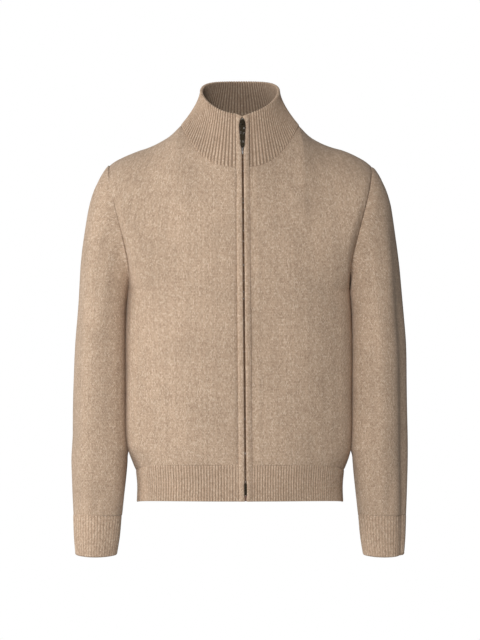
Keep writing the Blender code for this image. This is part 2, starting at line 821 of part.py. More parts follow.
def build_zip():
    band_heights = (HEM_BOTTOM, BOX_BOTTOM - 0.002) + FRONT_BENDS
    band_heights += tuple(height for height, _near in BAND_PARTED)
    tape_heights = (HEM_BOTTOM + 0.001, TAPE_STEP, TAPE_STEP + 0.0006) + FRONT_BENDS + (0.0, 0.050)
    post_foot = slider_height_of(POST_FOOT)
    teeth_heights = (BOX_TOP + SEAM_GAP,) + FRONT_BENDS[1:] + (0.0, post_foot - SEAM_GAP)
    for side, word in ((1, "left"), (-1, "right")):
        zip_strip(f"zip_band_{word}", band_section, band_heights, side, JERSEY, band_fall)
        zip_strip(f"zip_tape_{word}", tape_section, tape_heights, side, TWILL)
        zip_strip(f"zip_teeth_{word}", teeth_section, teeth_heights, side, DARK_METAL)
    zip_strip("zip_box", box_section, (BOX_BOTTOM, BOX_TOP), 1, DARK_METAL)


POST_FOOT = 0.0022  # up the slider from its middle


def slider_frame():
    """The slider's own axes about its middle on the cloth's face: across, up the zip and out."""
    low, high = (Vector(beside_zip(height, 0, 0)) for height in (0.0, COLLAR_TOP_FRONT[1]))
    rise = (high - low).normalized()
    lean = math.atan2(rise.z, rise.y)
    place = Vector(beside_zip(SLIDER_HEIGHT, 0, 0))
    return Matrix.Translation(place) @ Matrix.Rotation(lean, 4, "X")


def slider_height_of(up):
    """The height of a place on the slider, given up the zip from its middle."""
    return (slider_frame() @ Vector((0, up, 0))).z


def block(name, low, high, bevel):
    """A rounded block in the slider's axes, as a helper for the slider's union."""
    bpy.ops.mesh.primitive_cube_add(size=1)
    made = bpy.context.active_object
    made.name = name
    size = Vector(high) - Vector(low)
    middle = (Vector(high) + Vector(low)) / 2
    made.data.transform(Matrix.Translation(middle) @ Matrix.Diagonal(size.to_4d()))
    edges = made.modifiers.new("Rounded edges", "BEVEL")
    edges.width = bevel
    edges.segments = 1
    edges.limit_method = "ANGLE"
    edges.angle_limit = math.radians(20)
    return made


def slider_plate(name, low, high):
    """A plate of the slider, which narrows to both ends, in the slider's axes."""
    ups, halves = zip(*SLIDER_HALF)
    plate = block(name, (-1, ups[0], low), (1, ups[-1], high), 0.0005)
    shape = bmesh.new()
    shape.from_mesh(plate.data)
    everything = shape.verts[:] + shape.edges[:] + shape.faces[:]
    bmesh.ops.bisect_plane(shape, geom=everything, plane_co=(0, ups[1], 0), plane_no=(0, 1, 0))
    for vertex in shape.verts:
        vertex.co.x *= np.interp(vertex.co.y, ups, halves)
    shape.to_mesh(plate.data)
    shape.free()
    return plate


def build_slider():
    back = TAPE_FRONT - TAPE_WALL - SEAM_GAP
    body = slider_plate("zip_slider", SLIDER_FACE - SLIDER_PLATE, SLIDER_FACE)
    body.data.materials.append(make_material("zip_slider", DARK_METAL))
    half = SLIDER_LENGTH / 2
    bridge_top = 2 * HINGE_OUT - 0.0006
    half_post = 0.0015
    bridge_low, bridge_high = -0.0045, 0.0070
    leg = 0.0015
    spans = {
        "slider_post": ((-half_post, POST_FOOT, back - 0.0005), (half_post, half - 0.0008, 0.0)),
        "slider_leg_low": ((-BRIDGE_HALF, bridge_low, 0.0), (BRIDGE_HALF, bridge_low + leg, bridge_top)),
        "slider_leg_high": ((-BRIDGE_HALF, bridge_high - leg, 0.0), (BRIDGE_HALF, bridge_high, bridge_top)),
        "slider_bridge": (
            (-BRIDGE_HALF, bridge_low, bridge_top - 0.0012),
            (BRIDGE_HALF, bridge_high, bridge_top),
        ),
    }
    parts = [slider_plate("slider_back", back - SLIDER_PLATE, back)]
    parts += [block(name, low, high, 0.0002) for name, (low, high) in spans.items()]
    move_to(body, bpy.data.collections[COLLECTION])
    body.matrix_world = slider_frame()
    for helper in parts:
        move_to(helper, bpy.data.collections["slider_parts"])
        helper.matrix_world = slider_frame()
        helper.hide_render = True
        helper.display_type = "WIRE"
        union = body.modifiers.new("With " + helper.name, "BOOLEAN")
        union.operation = "UNION"
        union.object = helper


def move_to(made, collection):
    for old in list(made.users_collection):
        old.objects.unlink(made)
    collection.objects.link(made)


def build_pull():
    """The pull tab, a flat plate hung by the bar over its window; its origin is on that bar's axis."""
    outline = bpy.data.curves.new("pull_tab", "CURVE")
    outline.dimensions = "2D"
    outline.fill_mode = "BOTH"
    outline.extrude = PULL_THICKNESS / 2
    top = PULL_BAR / 2
    corner = 0.0009
    widest = -0.0120
    rim = (
        (-PULL_HALF + corner, top),
        (PULL_HALF - corner, top),
        (PULL_HALF, top - corner),
        (PULL_WIDEST_HALF, widest),
        (PULL_TIP_HALF, -PULL_LENGTH + 2 * corner),
        (PULL_TIP_HALF - 1.2 * corner, -PULL_LENGTH),
        (-PULL_TIP_HALF + 1.2 * corner, -PULL_LENGTH),
        (-PULL_TIP_HALF, -PULL_LENGTH + 2 * corner),
        (-PULL_WIDEST_HALF, widest),
        (-PULL_HALF, top - corner),
    )
    window = (
        (-PULL_WINDOW_HALF, -PULL_BAR / 2),
        (PULL_WINDOW_HALF, -PULL_BAR / 2),
        (PULL_WINDOW_HALF, -PULL_WINDOW_LENGTH),
        (-PULL_WINDOW_HALF, -PULL_WINDOW_LENGTH),
    )
    for points in (rim, window):
        spline = outline.splines.new("POLY")
        spline.points.add(len(points) - 1)
        for point, (x, y) in zip(spline.points, points):
            point.co = (x, y, 0, 1)
        spline.use_cyclic_u = True
    made = add_object("pull_tab", outline, PULL_METAL)
    weld = made.modifiers.new("Closed caps", "WELD")
    weld.merge_threshold = 0.00001
    made.matrix_world = slider_frame() @ Matrix.Translation((0, HINGE_UP, HINGE_OUT))


def clear_scene():
    for old in list(bpy.data.objects):
        bpy.data.objects.remove(old)
    for name in (COLLECTION, "slider_parts"):
        bpy.context.scene.collection.children.link(bpy.data.collections.new(name))


def main():
    clear_scene()
    build_front(1, "front_left")
    build_front(-1, "front_right")
    build_back()
    build_sleeves()
    build_cuffs()
    build_hem()
    build_collar()
    build_zip()
    build_slider()
    build_pull()


main()
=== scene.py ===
"""A zip-up cardigan in beige melange wool, with its knit, seams, zip teeth, light and camera.

It is laid out as a Blender add-on and run as a script. Metres, +Z up; the front faces -Y and +X is
the wearer's left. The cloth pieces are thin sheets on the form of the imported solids.

The body is laid out by two numbers. A share runs round each half, from 0 at the centre line to 1 at
the side seam or armhole. A level runs up it, from -1 at the hem seam, through 0 at the underarm, to
1 at the neckline and shoulder seam.
"""

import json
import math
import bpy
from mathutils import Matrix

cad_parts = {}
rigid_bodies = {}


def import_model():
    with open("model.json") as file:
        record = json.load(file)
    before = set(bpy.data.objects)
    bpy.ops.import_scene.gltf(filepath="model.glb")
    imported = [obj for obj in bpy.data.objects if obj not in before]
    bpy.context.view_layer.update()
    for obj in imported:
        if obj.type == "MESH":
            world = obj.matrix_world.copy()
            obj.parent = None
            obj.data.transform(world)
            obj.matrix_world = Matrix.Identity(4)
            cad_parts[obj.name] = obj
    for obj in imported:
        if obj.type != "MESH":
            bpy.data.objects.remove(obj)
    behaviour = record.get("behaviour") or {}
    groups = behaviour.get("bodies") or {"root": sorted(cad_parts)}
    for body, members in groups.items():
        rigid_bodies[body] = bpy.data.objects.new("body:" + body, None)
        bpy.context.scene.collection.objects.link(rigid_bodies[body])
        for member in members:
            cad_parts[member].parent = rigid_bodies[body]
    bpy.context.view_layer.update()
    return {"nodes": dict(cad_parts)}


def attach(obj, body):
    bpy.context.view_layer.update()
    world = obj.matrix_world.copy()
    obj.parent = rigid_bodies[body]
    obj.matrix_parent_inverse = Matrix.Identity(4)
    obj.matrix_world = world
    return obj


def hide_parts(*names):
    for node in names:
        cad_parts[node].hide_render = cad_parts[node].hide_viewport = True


bl_info = {
    "name": "Zip-up cardigan",
    "version": (1, 0, 0),
    "blender": (4, 5, 0),
    "location": "View3D > Sidebar > Cardigan",
    "description": "Knits a zip-up cardigan over its packed solids, with its light and camera",
    "category": "Mesh",
}

from collections import namedtuple

import bmesh
import bpy
import numpy as np
from bpy.props import FloatProperty, FloatVectorProperty, PointerProperty
from mathutils import Matrix, Vector

for old in list(bpy.data.objects):
    bpy.data.objects.remove(old)
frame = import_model()

GARMENT = "garment"
QUARTER = math.pi / 2
SEAM_GAP = 0.0003
SEAM_HALF = 0.0030  # half width of a seam's trough
SEAM_LIMIT = 0.0026  # how far seams that meet draw the cloth in together

# Body: heights above the origin and half widths
NECK_FRONT = -0.0345
NECK_BACK = 0.0360
NECK_SIDE = 0.0420
NECK_SIDE_SWEEP = 2.8
NECK_HALF = 0.1035
NECK_SHARE = 0.5  # the share at which the shoulder seam meets the neckline
SHOULDER_TIP_X = 0.2300
UNDERARM = -0.2450
UNDERARM_HALF = 0.1930
ARMHOLE_LEAN = 3.2
ARMHOLE_LAG = 0.25
NECK_TURN = 0.45
ROUND = 0.8  # power of the squared-off rounds of the body; 1 is an ellipse
HEM_SEAM = -0.5463
HEM_BOTTOM = -0.6085
# How much lower the hem's seam and its bottom hang at the sides, where the jersey blouses over the rib
SEAM_DROP = 0.0147
BOTTOM_DROP = 0.0070

# height, half width
BODY_HALF = (
    (HEM_SEAM, 0.1815),
    (-0.5360, 0.1864),
    (-0.5240, 0.1912),
    (-0.5100, 0.1945),
    (-0.4900, 0.1960),
    (-0.4000, 0.1965),
    (-0.3300, 0.1960),
    (UNDERARM, UNDERARM_HALF),
)
# height, depth in front of the middle
FRONT_DEPTH = (
    (HEM_BOTTOM, 0.1085),
    (-0.5750, 0.1085),
    (HEM_SEAM, 0.1095),
    (-0.5200, 0.1120),
    (-0.4800, 0.1140),
    (-0.3800, 0.1165),
    (-0.2450, 0.1185),
    (-0.1500, 0.1150),
    (-0.0800, 0.1060),
    (NECK_FRONT, 0.0960),
)
# height, depth behind the middle
BACK_DEPTH = (
    (HEM_BOTTOM, 0.1010),
    (-0.5750, 0.1000),
    (HEM_SEAM, 0.1010),
    (-0.5200, 0.1050),
    (-0.4000, 0.1060),
    (-0.2450, 0.1110),
    (-0.1200, 0.1120),
    (-0.0300, 0.1000),
    (NECK_BACK, 0.0750),
)
# distance from the centre line, height of the shoulder seam
SHOULDER = (
    (NECK_HALF, NECK_SIDE),
    (0.1210, 0.0246),
    (0.1380, 0.0140),
    (0.1610, 0.0040),
    (0.1785, -0.0012),
    (0.2048, -0.0125),
    (0.2220, -0.0227),
    (SHOULDER_TIP_X, -0.0296),
    (0.2380, -0.0404),
)
# height, half width of the hem rib
HEM_HALF = ((HEM_BOTTOM, 0.1800), (-0.5750, 0.1792), (HEM_SEAM, 0.1815))

Face = namedtuple("Face", "sign depths neck_height neck_depth armhole_depth")
FRONT = Face(-1, FRONT_DEPTH, NECK_FRONT, 0.0960, 0.0750)
BACK = Face(1, BACK_DEPTH, NECK_BACK, 0.0750, 0.0700)

# Sleeves and cuffs: height, inner side, outer side, middle of the depth, half depth
SLEEVE = (
    (-0.6370, 0.2074, 0.2893, -0.0220, 0.0325),
    (-0.6000, 0.2036, 0.2912, -0.0190, 0.0385),
    (-0.5700, 0.2003, 0.2922, -0.0160, 0.0435),
    (-0.5400, 0.1978, 0.2930, -0.0120, 0.0480),
    (-0.4800, 0.1980, 0.2935, -0.0070, 0.0550),
    (-0.4000, 0.1985, 0.2922, -0.0030, 0.0610),
    (-0.3350, 0.1990, 0.2900, -0.0010, 0.0660),
    (-0.2900, 0.1985, 0.2862, 0.0000, 0.0690),
)
SLEEVE_START = -0.2900
CUFF_BOTTOM = -0.7070
CUFF_ROUND = 0.0025  # how much higher a cuff's bottom edge is at its sides
CUFF_INSET = 0.0008  # how far a cuff lies inside its solid
CUFF_SEAM = -0.6370
CUFF = (
    (CUFF_BOTTOM, 0.2160, 0.2848, -0.0250, 0.0245),
    (-0.6750, 0.2112, 0.2872, -0.0240, 0.0275),
    (CUFF_SEAM, 0.2080, 0.2887, -0.0220, 0.0318),
)

# The wearer's right sleeve hangs this much slimmer on each side, with the body fuller beside it
SLIMMER = 0.0035
# distance from the centre line, share of SLIMMER by which the cloth moves out
SLIM_ACROSS = ((0.13, 0), (0.19, 1), (0.21, 0.9), (0.29, -1))
# height, share of that
SLIM_UP = ((-0.55, 0), (-0.49, 1), (-0.28, 1), (-0.16, 0))

# Collar: depth and height of its top at the front and back
COLLAR_TOP_HALF = 0.0690
COLLAR_TOP_FRONT = (-0.0680, 0.0592)
COLLAR_TOP_BACK = (0.0580, 0.1250)
COLLAR_SIDE_LIFT = 0.0127
COLLAR_FLARE = 0.6
COLLAR_WALL = 0.0030
COLLAR_SWELL = 1.35  # a collar rib's height, as a share of a hem rib's
COLLAR_SUNK = 0.4  # how far the grooves lie under the plain form, as a share of a hem rib's height
INNER_SWELL = 0.8  # the inner face's ribs, as a share of the outer's
BESIDE_ZIP = 0.0042  # how far the collar is drawn in beside the wearer's left zip band
BESIDE_RIBS = 1.5  # over how many ribs it is
INNER_BESIDE = 0.6  # how much of that the inner face follows
COLLAR_FOLD = 0.0022  # how far the fold stands above the outer face's last row

HEM_RIBS_FRONT = 48
HEM_RIBS_BACK = 100
CUFF_RIBS = 42
COLLAR_RIBS = 92

# Zip, measured out from its own centre line; depths are from the cloth's face, outwards
ZIP_TOP_X = 0.0040
ZIP_HEM_X = 0.0098
BAND_INNER = 0.0021
BAND_OUTER = 0.0115
BAND_CROWN = 0.0016
BAND_BACK = -0.0021
BAND_PARTED_BY_BOX = 0.0008
BAND_TOP = 0.0588
BAND_NOTCH = 0.0050  # how much lower the bands' tops are beside the zip than at their outer edges
NOTCH_BOTTOM = 0.0400  # the height from which they are drawn down
# height, distance from the zip's centre line to a band's inner edge, pushed aside by the slider
BAND_PARTED = (
    (-0.0300, BAND_INNER),
    (-0.0120, BAND_INNER),
    (-0.0020, 0.0026),
    (0.0040, 0.0037),
    (0.0107, 0.0042),
    (0.0223, 0.0050),
    (0.0300, 0.0057),
    (0.0350, 0.0059),
    (0.0400, 0.0055),
    (0.0460, 0.0044),
    (0.0505, 0.0034),
    (0.0545, 0.0012),
    (BAND_TOP, 0.0006),
)
BAND_RIB = 0.00012  # height and spacing of the fine ribs across a band
BAND_RIB_PITCH = 0.0019
TEETH_FRONT = -0.0012
TEETH_BACK = BAND_BACK - SEAM_GAP - 0.0007
TOOTH_WIDTH = 0.0026
TOOTH_SHARE = 0.42  # a tooth's height, as a share of the pitch
TOOTH_ROUND = 0.00018
BOX_TOP = -0.5777
BOX_BOTTOM = -0.5977
TEETH_TOP = 0.0440
# Heights between which the metal gets a painted highlight, paler and smoother
SLIDER_PAINTED_HIGHLIGHT = (0.0485, 0.0570)
TEETH_PAINTED_HIGHLIGHT = (-0.0120, 0.0120)

# Stage: place and width of the lamps, the point they face, and the floor
KEY_LAMP = ((-0.70, -3.30, 0.85), 1.4)
SIDE_LAMP = ((-3.1, -0.8, 0.5), 1.5)
LIT_POINT = (0, 0, -0.25)
FLOOR_HEIGHT = -1.25
FLOOR_RADIUS = 3


class CardiganCloth(bpy.types.PropertyGroup):
    """Sizes and colours of the knitted cloth."""

    jersey: FloatVectorProperty(
        name="Jersey", description="Main colour of the fine jersey",
        subtype="COLOR", min=0, max=1, default=(0.560, 0.405, 0.288),
    )
    fleck: FloatVectorProperty(
        name="Dark fibres", description="Colour of the darker fibres in the melange yarn",
        subtype="COLOR", min=0, max=1, default=(0.270, 0.172, 0.112),
    )
    pale: FloatVectorProperty(
        name="Pale fibres", description="Colour of the palest fibres in the melange yarn",
        subtype="COLOR", min=0, max=1, default=(0.800, 0.650, 0.500),
    )
    wall: FloatProperty(
        name="Jersey thickness", description="Thickness of the jersey",
        unit="LENGTH", default=0.0020, min=0.0005, max=0.004,
    )
    rib_wall: FloatProperty(
        name="Rib thickness", description="Thickness of the hem and cuff ribs between their grooves",
        unit="LENGTH", default=0.0024, min=0.0005, max=0.004,
    )
    rib_height: FloatProperty(
        name="Rib height", description="How far a rib stands above the groove beside it",
        unit="LENGTH", default=0.0013, min=0, max=0.003,
    )
    wale: FloatProperty(
        name="Wale width", description="Width of one column of stitches",
        unit="LENGTH", default=0.0038, min=0.001, max=0.01,
    )
    course: FloatProperty(
        name="Course height", description="Height of one row of stitches",
        unit="LENGTH", default=0.0028, min=0.001, max=0.01,
    )
    seam_depth: FloatProperty(
        name="Seam depth", description="How far the cloth is drawn in along its deepest seams",
        unit="LENGTH", default=0.0010, min=0, max=0.003,
    )


class CardiganZip(bpy.types.PropertyGroup):
    """Sizes and colours of the zip."""

    pitch: FloatProperty(
        name="Tooth pitch", description="Distance from one tooth to the next on the same tape",
        unit="LENGTH", default=0.0024, min=0.001, max=0.01,
    )
    metal: FloatVectorProperty(
        name="Metal", description="Colour of the slider's and pull tab's dark metal",
        subtype="COLOR", min=0, max=1, default=(0.032, 0.025, 0.016),
    )
    teeth: FloatVectorProperty(
        name="Teeth", description="Colour of the brown metal of the teeth",
        subtype="COLOR", min=0, max=1, default=(0.200, 0.120, 0.072),
    )
    tape: FloatVectorProperty(
        name="Tape", description="Colour of the woven tape",
        subtype="COLOR", min=0, max=1, default=(0.150, 0.085, 0.065),
    )


class CardiganStage(bpy.types.PropertyGroup):
    """Light and camera."""

    distance: FloatProperty(
        name="Camera distance", description="How far the camera stands from the garment's middle",
        unit="LENGTH", default=5.0, min=1, max=20,
    )
    eye_height: FloatProperty(
        name="Camera height", description="Height of the level camera, from the shoulders",
        unit="LENGTH", default=-0.2975, min=-2, max=2,
    )
    frame_height: FloatProperty(
        name="Height in view", description="Height of the picture at the garment's middle",
        unit="LENGTH", default=1.120, min=0.1, max=5,
    )
    key: FloatProperty(
        name="Key light", description="Power of the light in front", unit="POWER", default=77.0, min=0
    )
    side: FloatProperty(
        name="Side light", description="Power of the light at the wearer's right",
        unit="POWER", default=50.0, min=0,
    )
    ambient: FloatProperty(
        name="Ambient light", description="Strength of the light from all round", default=0.14, min=0
    )


# Curves and rounds


def on_curve(table, places):
    """The values at places on smooth curves through a table whose first column holds the places."""
    rows = np.array(table, float)
    ends, values = rows[:, 0], rows[:, 1:]
    slopes = np.gradient(values, ends, axis=0)
    places = np.asarray(places, float)
    below = np.clip(np.searchsorted(ends, places) - 1, 0, len(ends) - 2)
    span = ends[below + 1] - ends[below]
    t = np.clip((places - ends[below]) / span, 0, 1)
    t, span = t[..., None], span[..., None]
    blend = t * t * (3 - 2 * t)
    value = values[below] * (1 - blend) + values[below + 1] * blend
    value = value + span * t * (1 - t) * ((1 - t) * slopes[below] - t * slopes[below + 1])
    return np.moveaxis(value, -1, 0)


def part_round(share, turn):
    """How far along and in a point lies, 0 to 1, on the first `turn` radians of a squared-off round."""
    run = (np.sin(share * turn) / np.sin(turn)) ** ROUND
    closing = 1 - np.maximum(np.cos(turn), 0.0) ** ROUND
    inward = (1 - np.maximum(np.cos(share * turn), 0.0) ** ROUND) / closing
    return run, inward


def bump(place, low, high, edge):
    """1 between low and high, falling to 0 over `edge` on either side."""
    outside = np.maximum(np.maximum(low - place, place - high), 0.0) / edge
    return 0.5 + 0.5 * np.cos(math.pi * np.minimum(outside, 1.0))


def points(*parts):
    return np.stack(np.broadcast_arrays(*parts), axis=-1).astype(float)


def unit(vectors):
    return vectors / np.maximum(np.linalg.norm(vectors, axis=-1, keepdims=True), 1e-12)


def runs(path, axis=0):
    """The distance run along an axis of a grid of points, from its start."""
    steps = np.linalg.norm(np.diff(path, axis=axis), axis=-1)
    start = np.zeros_like(np.take(steps, [0], axis=axis))
    return np.concatenate([start, np.cumsum(steps, axis=axis)], axis=axis)


def along(path, distances):
    """The points at these distances along a path of points."""
    run = runs(path)
    return points(*(np.interp(distances, run, path[:, i]) for i in range(3)))


def outward(grid, ring=False):
    """The normal at each point of a grid [row][column]; a ring's last column repeats its first."""
    if ring:
        grid = np.concatenate([grid[:, -2:-1], grid, grid[:, 1:2]], axis=1)
    up, across = np.gradient(grid, axis=0), np.gradient(grid, axis=1)
    out = unit(np.cross(across, up))
    return out[:, 1:-1] if ring else out


# Making sheets of cloth


def knit_shape(grid, knit):
    """A flat grid with each point put in its place on the garment, and the cell of each of its points.

    `knit` holds the flat place of each point, across and up the cloth, for the pattern of the knit.
    """
    rows, columns = grid.shape[0] - 1, grid.shape[1] - 1
    shape = bmesh.new()
    bmesh.ops.create_grid(shape, x_segments=columns, y_segments=rows, size=0.5)
    layer = shape.loops.layers.uv.new("knit")
    cells = {v: (round((v.co.y + 0.5) * rows), round((v.co.x + 0.5) * columns)) for v in shape.verts}
    for face in shape.faces:
        for corner in face.loops:
            corner[layer].uv = knit[cells[corner.vert]]
    for vert, cell in cells.items():
        vert.co = grid[cell]
    return shape, cells


def sheet_grid(name, grid, knit, material, wall=None):
    """A sheet of cloth from a flat grid; a ring's last column is joined to its first."""
    shape, _cells = knit_shape(grid, knit)
    bmesh.ops.remove_doubles(shape, verts=shape.verts, dist=1e-6)
    return add_piece(name, shape, material, wall)


def add_piece(name, shape, material, wall=None):
    """A piece on the garment's body, with its inner face at `wall` from the shape given."""
    mesh = bpy.data.meshes.new(name)
    shape.to_mesh(mesh)
    shape.free()
    mesh.shade_smooth()
    piece = bpy.data.objects.new(name, mesh)
    bpy.context.scene.collection.objects.link(piece)
    mesh.materials.append(material)
    if wall:
        cloth = piece.modifiers.new("Cloth thickness", "SOLIDIFY")
        cloth.thickness = wall
        cloth.offset = -1
        cloth.use_even_offset = False
    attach(piece, GARMENT)
    return piece


def slimmed(grid):
    """The grid with the wearer's right sleeve slimmer and the body that much fuller beside it."""
    out, height = -grid[..., 0], grid[..., 2]
    aside = np.interp(out, *zip(*SLIM_ACROSS))
    aside = np.where(out < SLIM_ACROSS[1][0], aside**2 * (3 - 2 * np.abs(aside)), aside)
    level = np.interp(height, *zip(*SLIM_UP))
    moved = grid.copy()
    moved[..., 0] -= SLIMMER * aside * level**2 * (3 - 2 * level)
    return moved


def knit_of(grid):
    """The flat place of each point, with level rows of stitches: its run across and its run up."""
    return points(runs(grid[..., :2], axis=1), runs(grid[..., 1:], axis=0))


def drawn_in(grid, out, seams, limit=SEAM_LIMIT):
    """The grid with its cloth drawn in along seams, each a distance to it, a depth and a half width."""
    sunk = 0
    for away, depth, half in seams:
        sunk = sunk + depth * np.exp(-((np.minimum(np.abs(away), 20 * SEAM_HALF) / half) ** 2))
    return grid - out * np.minimum(sunk, limit)[..., None]


Crease = namedtuple("Crease", "start end width depth")


def creased(grid, out, creases):
    """The grid with soft troughs, or ridges where the depth is below 0, along lines seen from the front.

    A crease runs between two points of (x, z) and fades out at both.
    """
    flat = grid[..., [0, 2]]
    sunk = np.zeros(grid.shape[:-1])
    for crease in creases:
        start, end = np.array(crease.start), np.array(crease.end)
        line = end - start
        place = ((flat - start) @ line) / (line @ line)
        off = np.linalg.norm(flat - start - np.clip(place, 0, 1)[..., None] * line, axis=-1)
        fade = np.sin(math.pi * np.clip(place, 0, 1)) ** 0.8
        sunk += crease.depth * fade * np.exp(-((off / crease.width) ** 2))
    return grid - out * sunk[..., None]


def softened(grid, out, seed, height=0.0007):
    """The grid with the slight unevenness of worn knit."""
    chance = np.random.default_rng(seed)
    swell = np.zeros(grid.shape[:-1])
    for _ in range(14):
        wave = unit(chance.normal(size=3)) * chance.uniform(25, 95)
        wave[2] *= 0.5
        swell += np.sin(grid @ wave + chance.uniform(0, 6.28))
    return grid + out * (swell * height / 3)[..., None]


def rib_swell(ribs):
    """How far a rib swells, 0 in its groove and 1 on its crest, with a rounded crest."""
    return np.abs(np.sin(math.pi * ribs)) ** 0.7


INSIDE = 1000  # the ribs of an inner face are numbered from here, and the wool material paints shade over that face
FOLD_ROWS = 6  # rows round the fold of a sheet, about FOLD_STEP apart on its knit map
FOLD_STEP = 0.001


def folded_sheet(outer, inner, knit):
    """The grid and knit map of a ribbed sheet that is doubled over at its last row."""
    rise = unit(outer[-1] - outer[-2])
    middle, half = (outer[-1] + inner[-1]) / 2, (outer[-1] - inner[-1]) / 2
    thick = np.linalg.norm(half, axis=-1, keepdims=True)
    turns = np.linspace(0, math.pi, FOLD_ROWS + 2)[1:-1]
    fold = np.array([middle + half * math.cos(a) + rise * thick * math.sin(a) for a in turns])
    flat_fold = np.repeat(knit[-1:], FOLD_ROWS, axis=0)
    flat_fold[..., 1] += FOLD_STEP * np.arange(1, FOLD_ROWS + 1)[:, None]
    flat_inner = points(knit[..., 0] + INSIDE, knit[::-1, :, 1])
    return np.concatenate([outer, fold, inner[::-1]]), np.concatenate([knit, flat_fold, flat_inner])


# Body


def shoulder_height(x):
    return on_curve(SHOULDER, x)[0]


def top_edge(face, share):
    """The neckline, or past NECK_SHARE the shoulder seam."""
    past = np.maximum(share - NECK_SHARE, 0) / (1 - NECK_SHARE)
    seam_x = NECK_HALF + (SHOULDER_TIP_X - NECK_HALF) * past
    angle = QUARTER * np.minimum(share / NECK_SHARE, 1)
    rise = (NECK_SIDE - face.neck_height) * np.sin(angle) ** NECK_SIDE_SWEEP
    neck = points(
        NECK_HALF * np.sin(angle), face.sign * face.neck_depth * np.cos(angle), face.neck_height + rise
    )
    seam = points(seam_x, 0 * seam_x, shoulder_height(seam_x))
    return np.where((share > NECK_SHARE)[..., None], seam, neck)


def body_row(face, share, rise, edge_rise):
    depth = on_curve(face.depths, UNDERARM + (face.neck_height - UNDERARM) * rise)[0]
    edge_x = UNDERARM_HALF + (SHOULDER_TIP_X - UNDERARM_HALF) * edge_rise**ARMHOLE_LEAN
    reached = edge_rise * (edge_rise / (edge_rise + ARMHOLE_LAG)) ** (3 * (1 - share) ** 2)
    edge_depth = face.armhole_depth * 2 * np.sqrt(np.maximum(reached * (1 - edge_rise), 0.0))
    turn = np.arccos((edge_depth / depth) ** (1 / ROUND))
    run, inward = part_round(share, turn)
    return edge_x * run, face.sign * (depth + (edge_depth - depth) * inward)


def body_point(face, share, level):
    """Points of the outer face of the wearer's left half of the body."""
    share, level = np.broadcast_arrays(np.asarray(share, float), np.asarray(level, float))
    low, high = np.minimum(level, 0), np.maximum(level, 0)
    height = HEM_SEAM + (UNDERARM - HEM_SEAM) * (1 + low)
    run, inward = part_round(share, QUARTER)
    depth = on_curve(face.depths, height)[0]
    half = on_curve(BODY_HALF, height)[0]
    below = points(half * run, face.sign * depth * (1 - inward), height - SEAM_DROP * share**3 * low**2)
    turn = QUARTER * (NECK_TURN + (1 - NECK_TURN) * np.minimum(share / NECK_SHARE, 1.0) ** 1.5)
    rise = np.sin(high * turn) / np.sin(turn)
    turned = (1 - np.cos(high * turn)) / (1 - np.cos(turn))
    edge_rise = np.sin(high * QUARTER)
    top = top_edge(face, share)
    x, y = body_row(face, share, rise, edge_rise)
    x = x + (top[..., 0] - x) * rise**1.5
    y = y + (top[..., 1] - body_row(face, share, np.ones_like(share), np.ones_like(share))[1]) * turned
    above = points(x, y, UNDERARM + (top[..., 2] - UNDERARM) * rise)
    return np.where((level <= 0)[..., None], below, above)


def zip_x(height):
    """The zip's centre line, which leans a little to the wearer's left towards the hem."""
    lean = (COLLAR_TOP_FRONT[1] - height) / (COLLAR_TOP_FRONT[1] - HEM_BOTTOM)
    return ZIP_TOP_X + (ZIP_HEM_X - ZIP_TOP_X) * lean


def front_edge_x(side, height):
    """Where a front meets its zip band, measured out from the garment's centre line."""
    return side * zip_x(height) + BAND_OUTER


def front_start(side, levels, point_of=None, under=0.0):
    """The shares at which rows of a front meet the zip band, or reach `under` it, found by halving."""
    point_of = point_of or (lambda share, level: body_point(FRONT, share, level))
    low, high = np.zeros_like(levels), np.full_like(levels, 0.4)
    for _ in range(28):
        middle = (low + high) / 2
        place = point_of(middle, levels)
        short = place[..., 0] < front_edge_x(side, place[..., 2]) - under
        low, high = np.where(short, middle, low), np.where(short, high, middle)
    return low


# The crease at the front of the wearer's left armhole: its top end, how far in front of the middle it
# reaches its full depth, then how far it draws in the body and the sleeve, over what half widths, and
# how far the cloth may be drawn in there in all
CREASE_TOP = -0.065
CREASE_FRONT = 0.015
BODY_CREASE = 0.0034
BODY_CREASE_HALF = 0.0055
FRONT_LIMIT = 0.0038
SLEEVE_CREASE = 0.0040
SLEEVE_CREASE_HALF = 0.0130
SLEEVE_LIMIT = 0.0066
# The depth of the groove beside the wearer's left and right band, in seam depths
GROOVE = {1: 1.7, -1: 0.2}
# How far a front stands forward of its solid near its side, over what distance that fades out towards
# the zip, between which heights, and over how much height it fades out below and above them
FULLER = 0.0125
FULLER_REACH = 0.090
FULLER_BOTTOM = -0.515
FULLER_TOP = -0.20
FULLER_FADE = (0.031, 0.14)
UNDER_BAND = 0.0015  # how far a front's edge reaches under the zip band
BODY_COLUMNS = 72
BODY_ROWS = 190
NECK_COLUMNS = 34


def body_levels():
    """Levels of the rows: closer over the blousing above the hem rib."""
    even = np.linspace(0, 1, BODY_ROWS + 1)
    return -1 + 2 * even ** (1 + 0.25 * (1 - even))


def body_grid(face, side):
    """Half of the front or back, on the wearer's left, with rows of points from centre to side."""
    levels = body_levels()
    start = front_start(side, levels, under=UNDER_BAND) if face is FRONT else np.zeros_like(levels)
    by_neck = np.linspace(0, 1, NECK_COLUMNS + 1)
    by_shoulder = np.linspace(0, 1, BODY_COLUMNS - NECK_COLUMNS + 1)[1:]
    near = start[:, None] + (NECK_SHARE - start[:, None]) * by_neck
    far = np.broadcast_to(NECK_SHARE + (1 - NECK_SHARE) * by_shoulder, (len(levels), len(by_shoulder)))
    shares = np.concatenate([near, far], axis=1)
    return body_point(face, shares, levels[:, None])


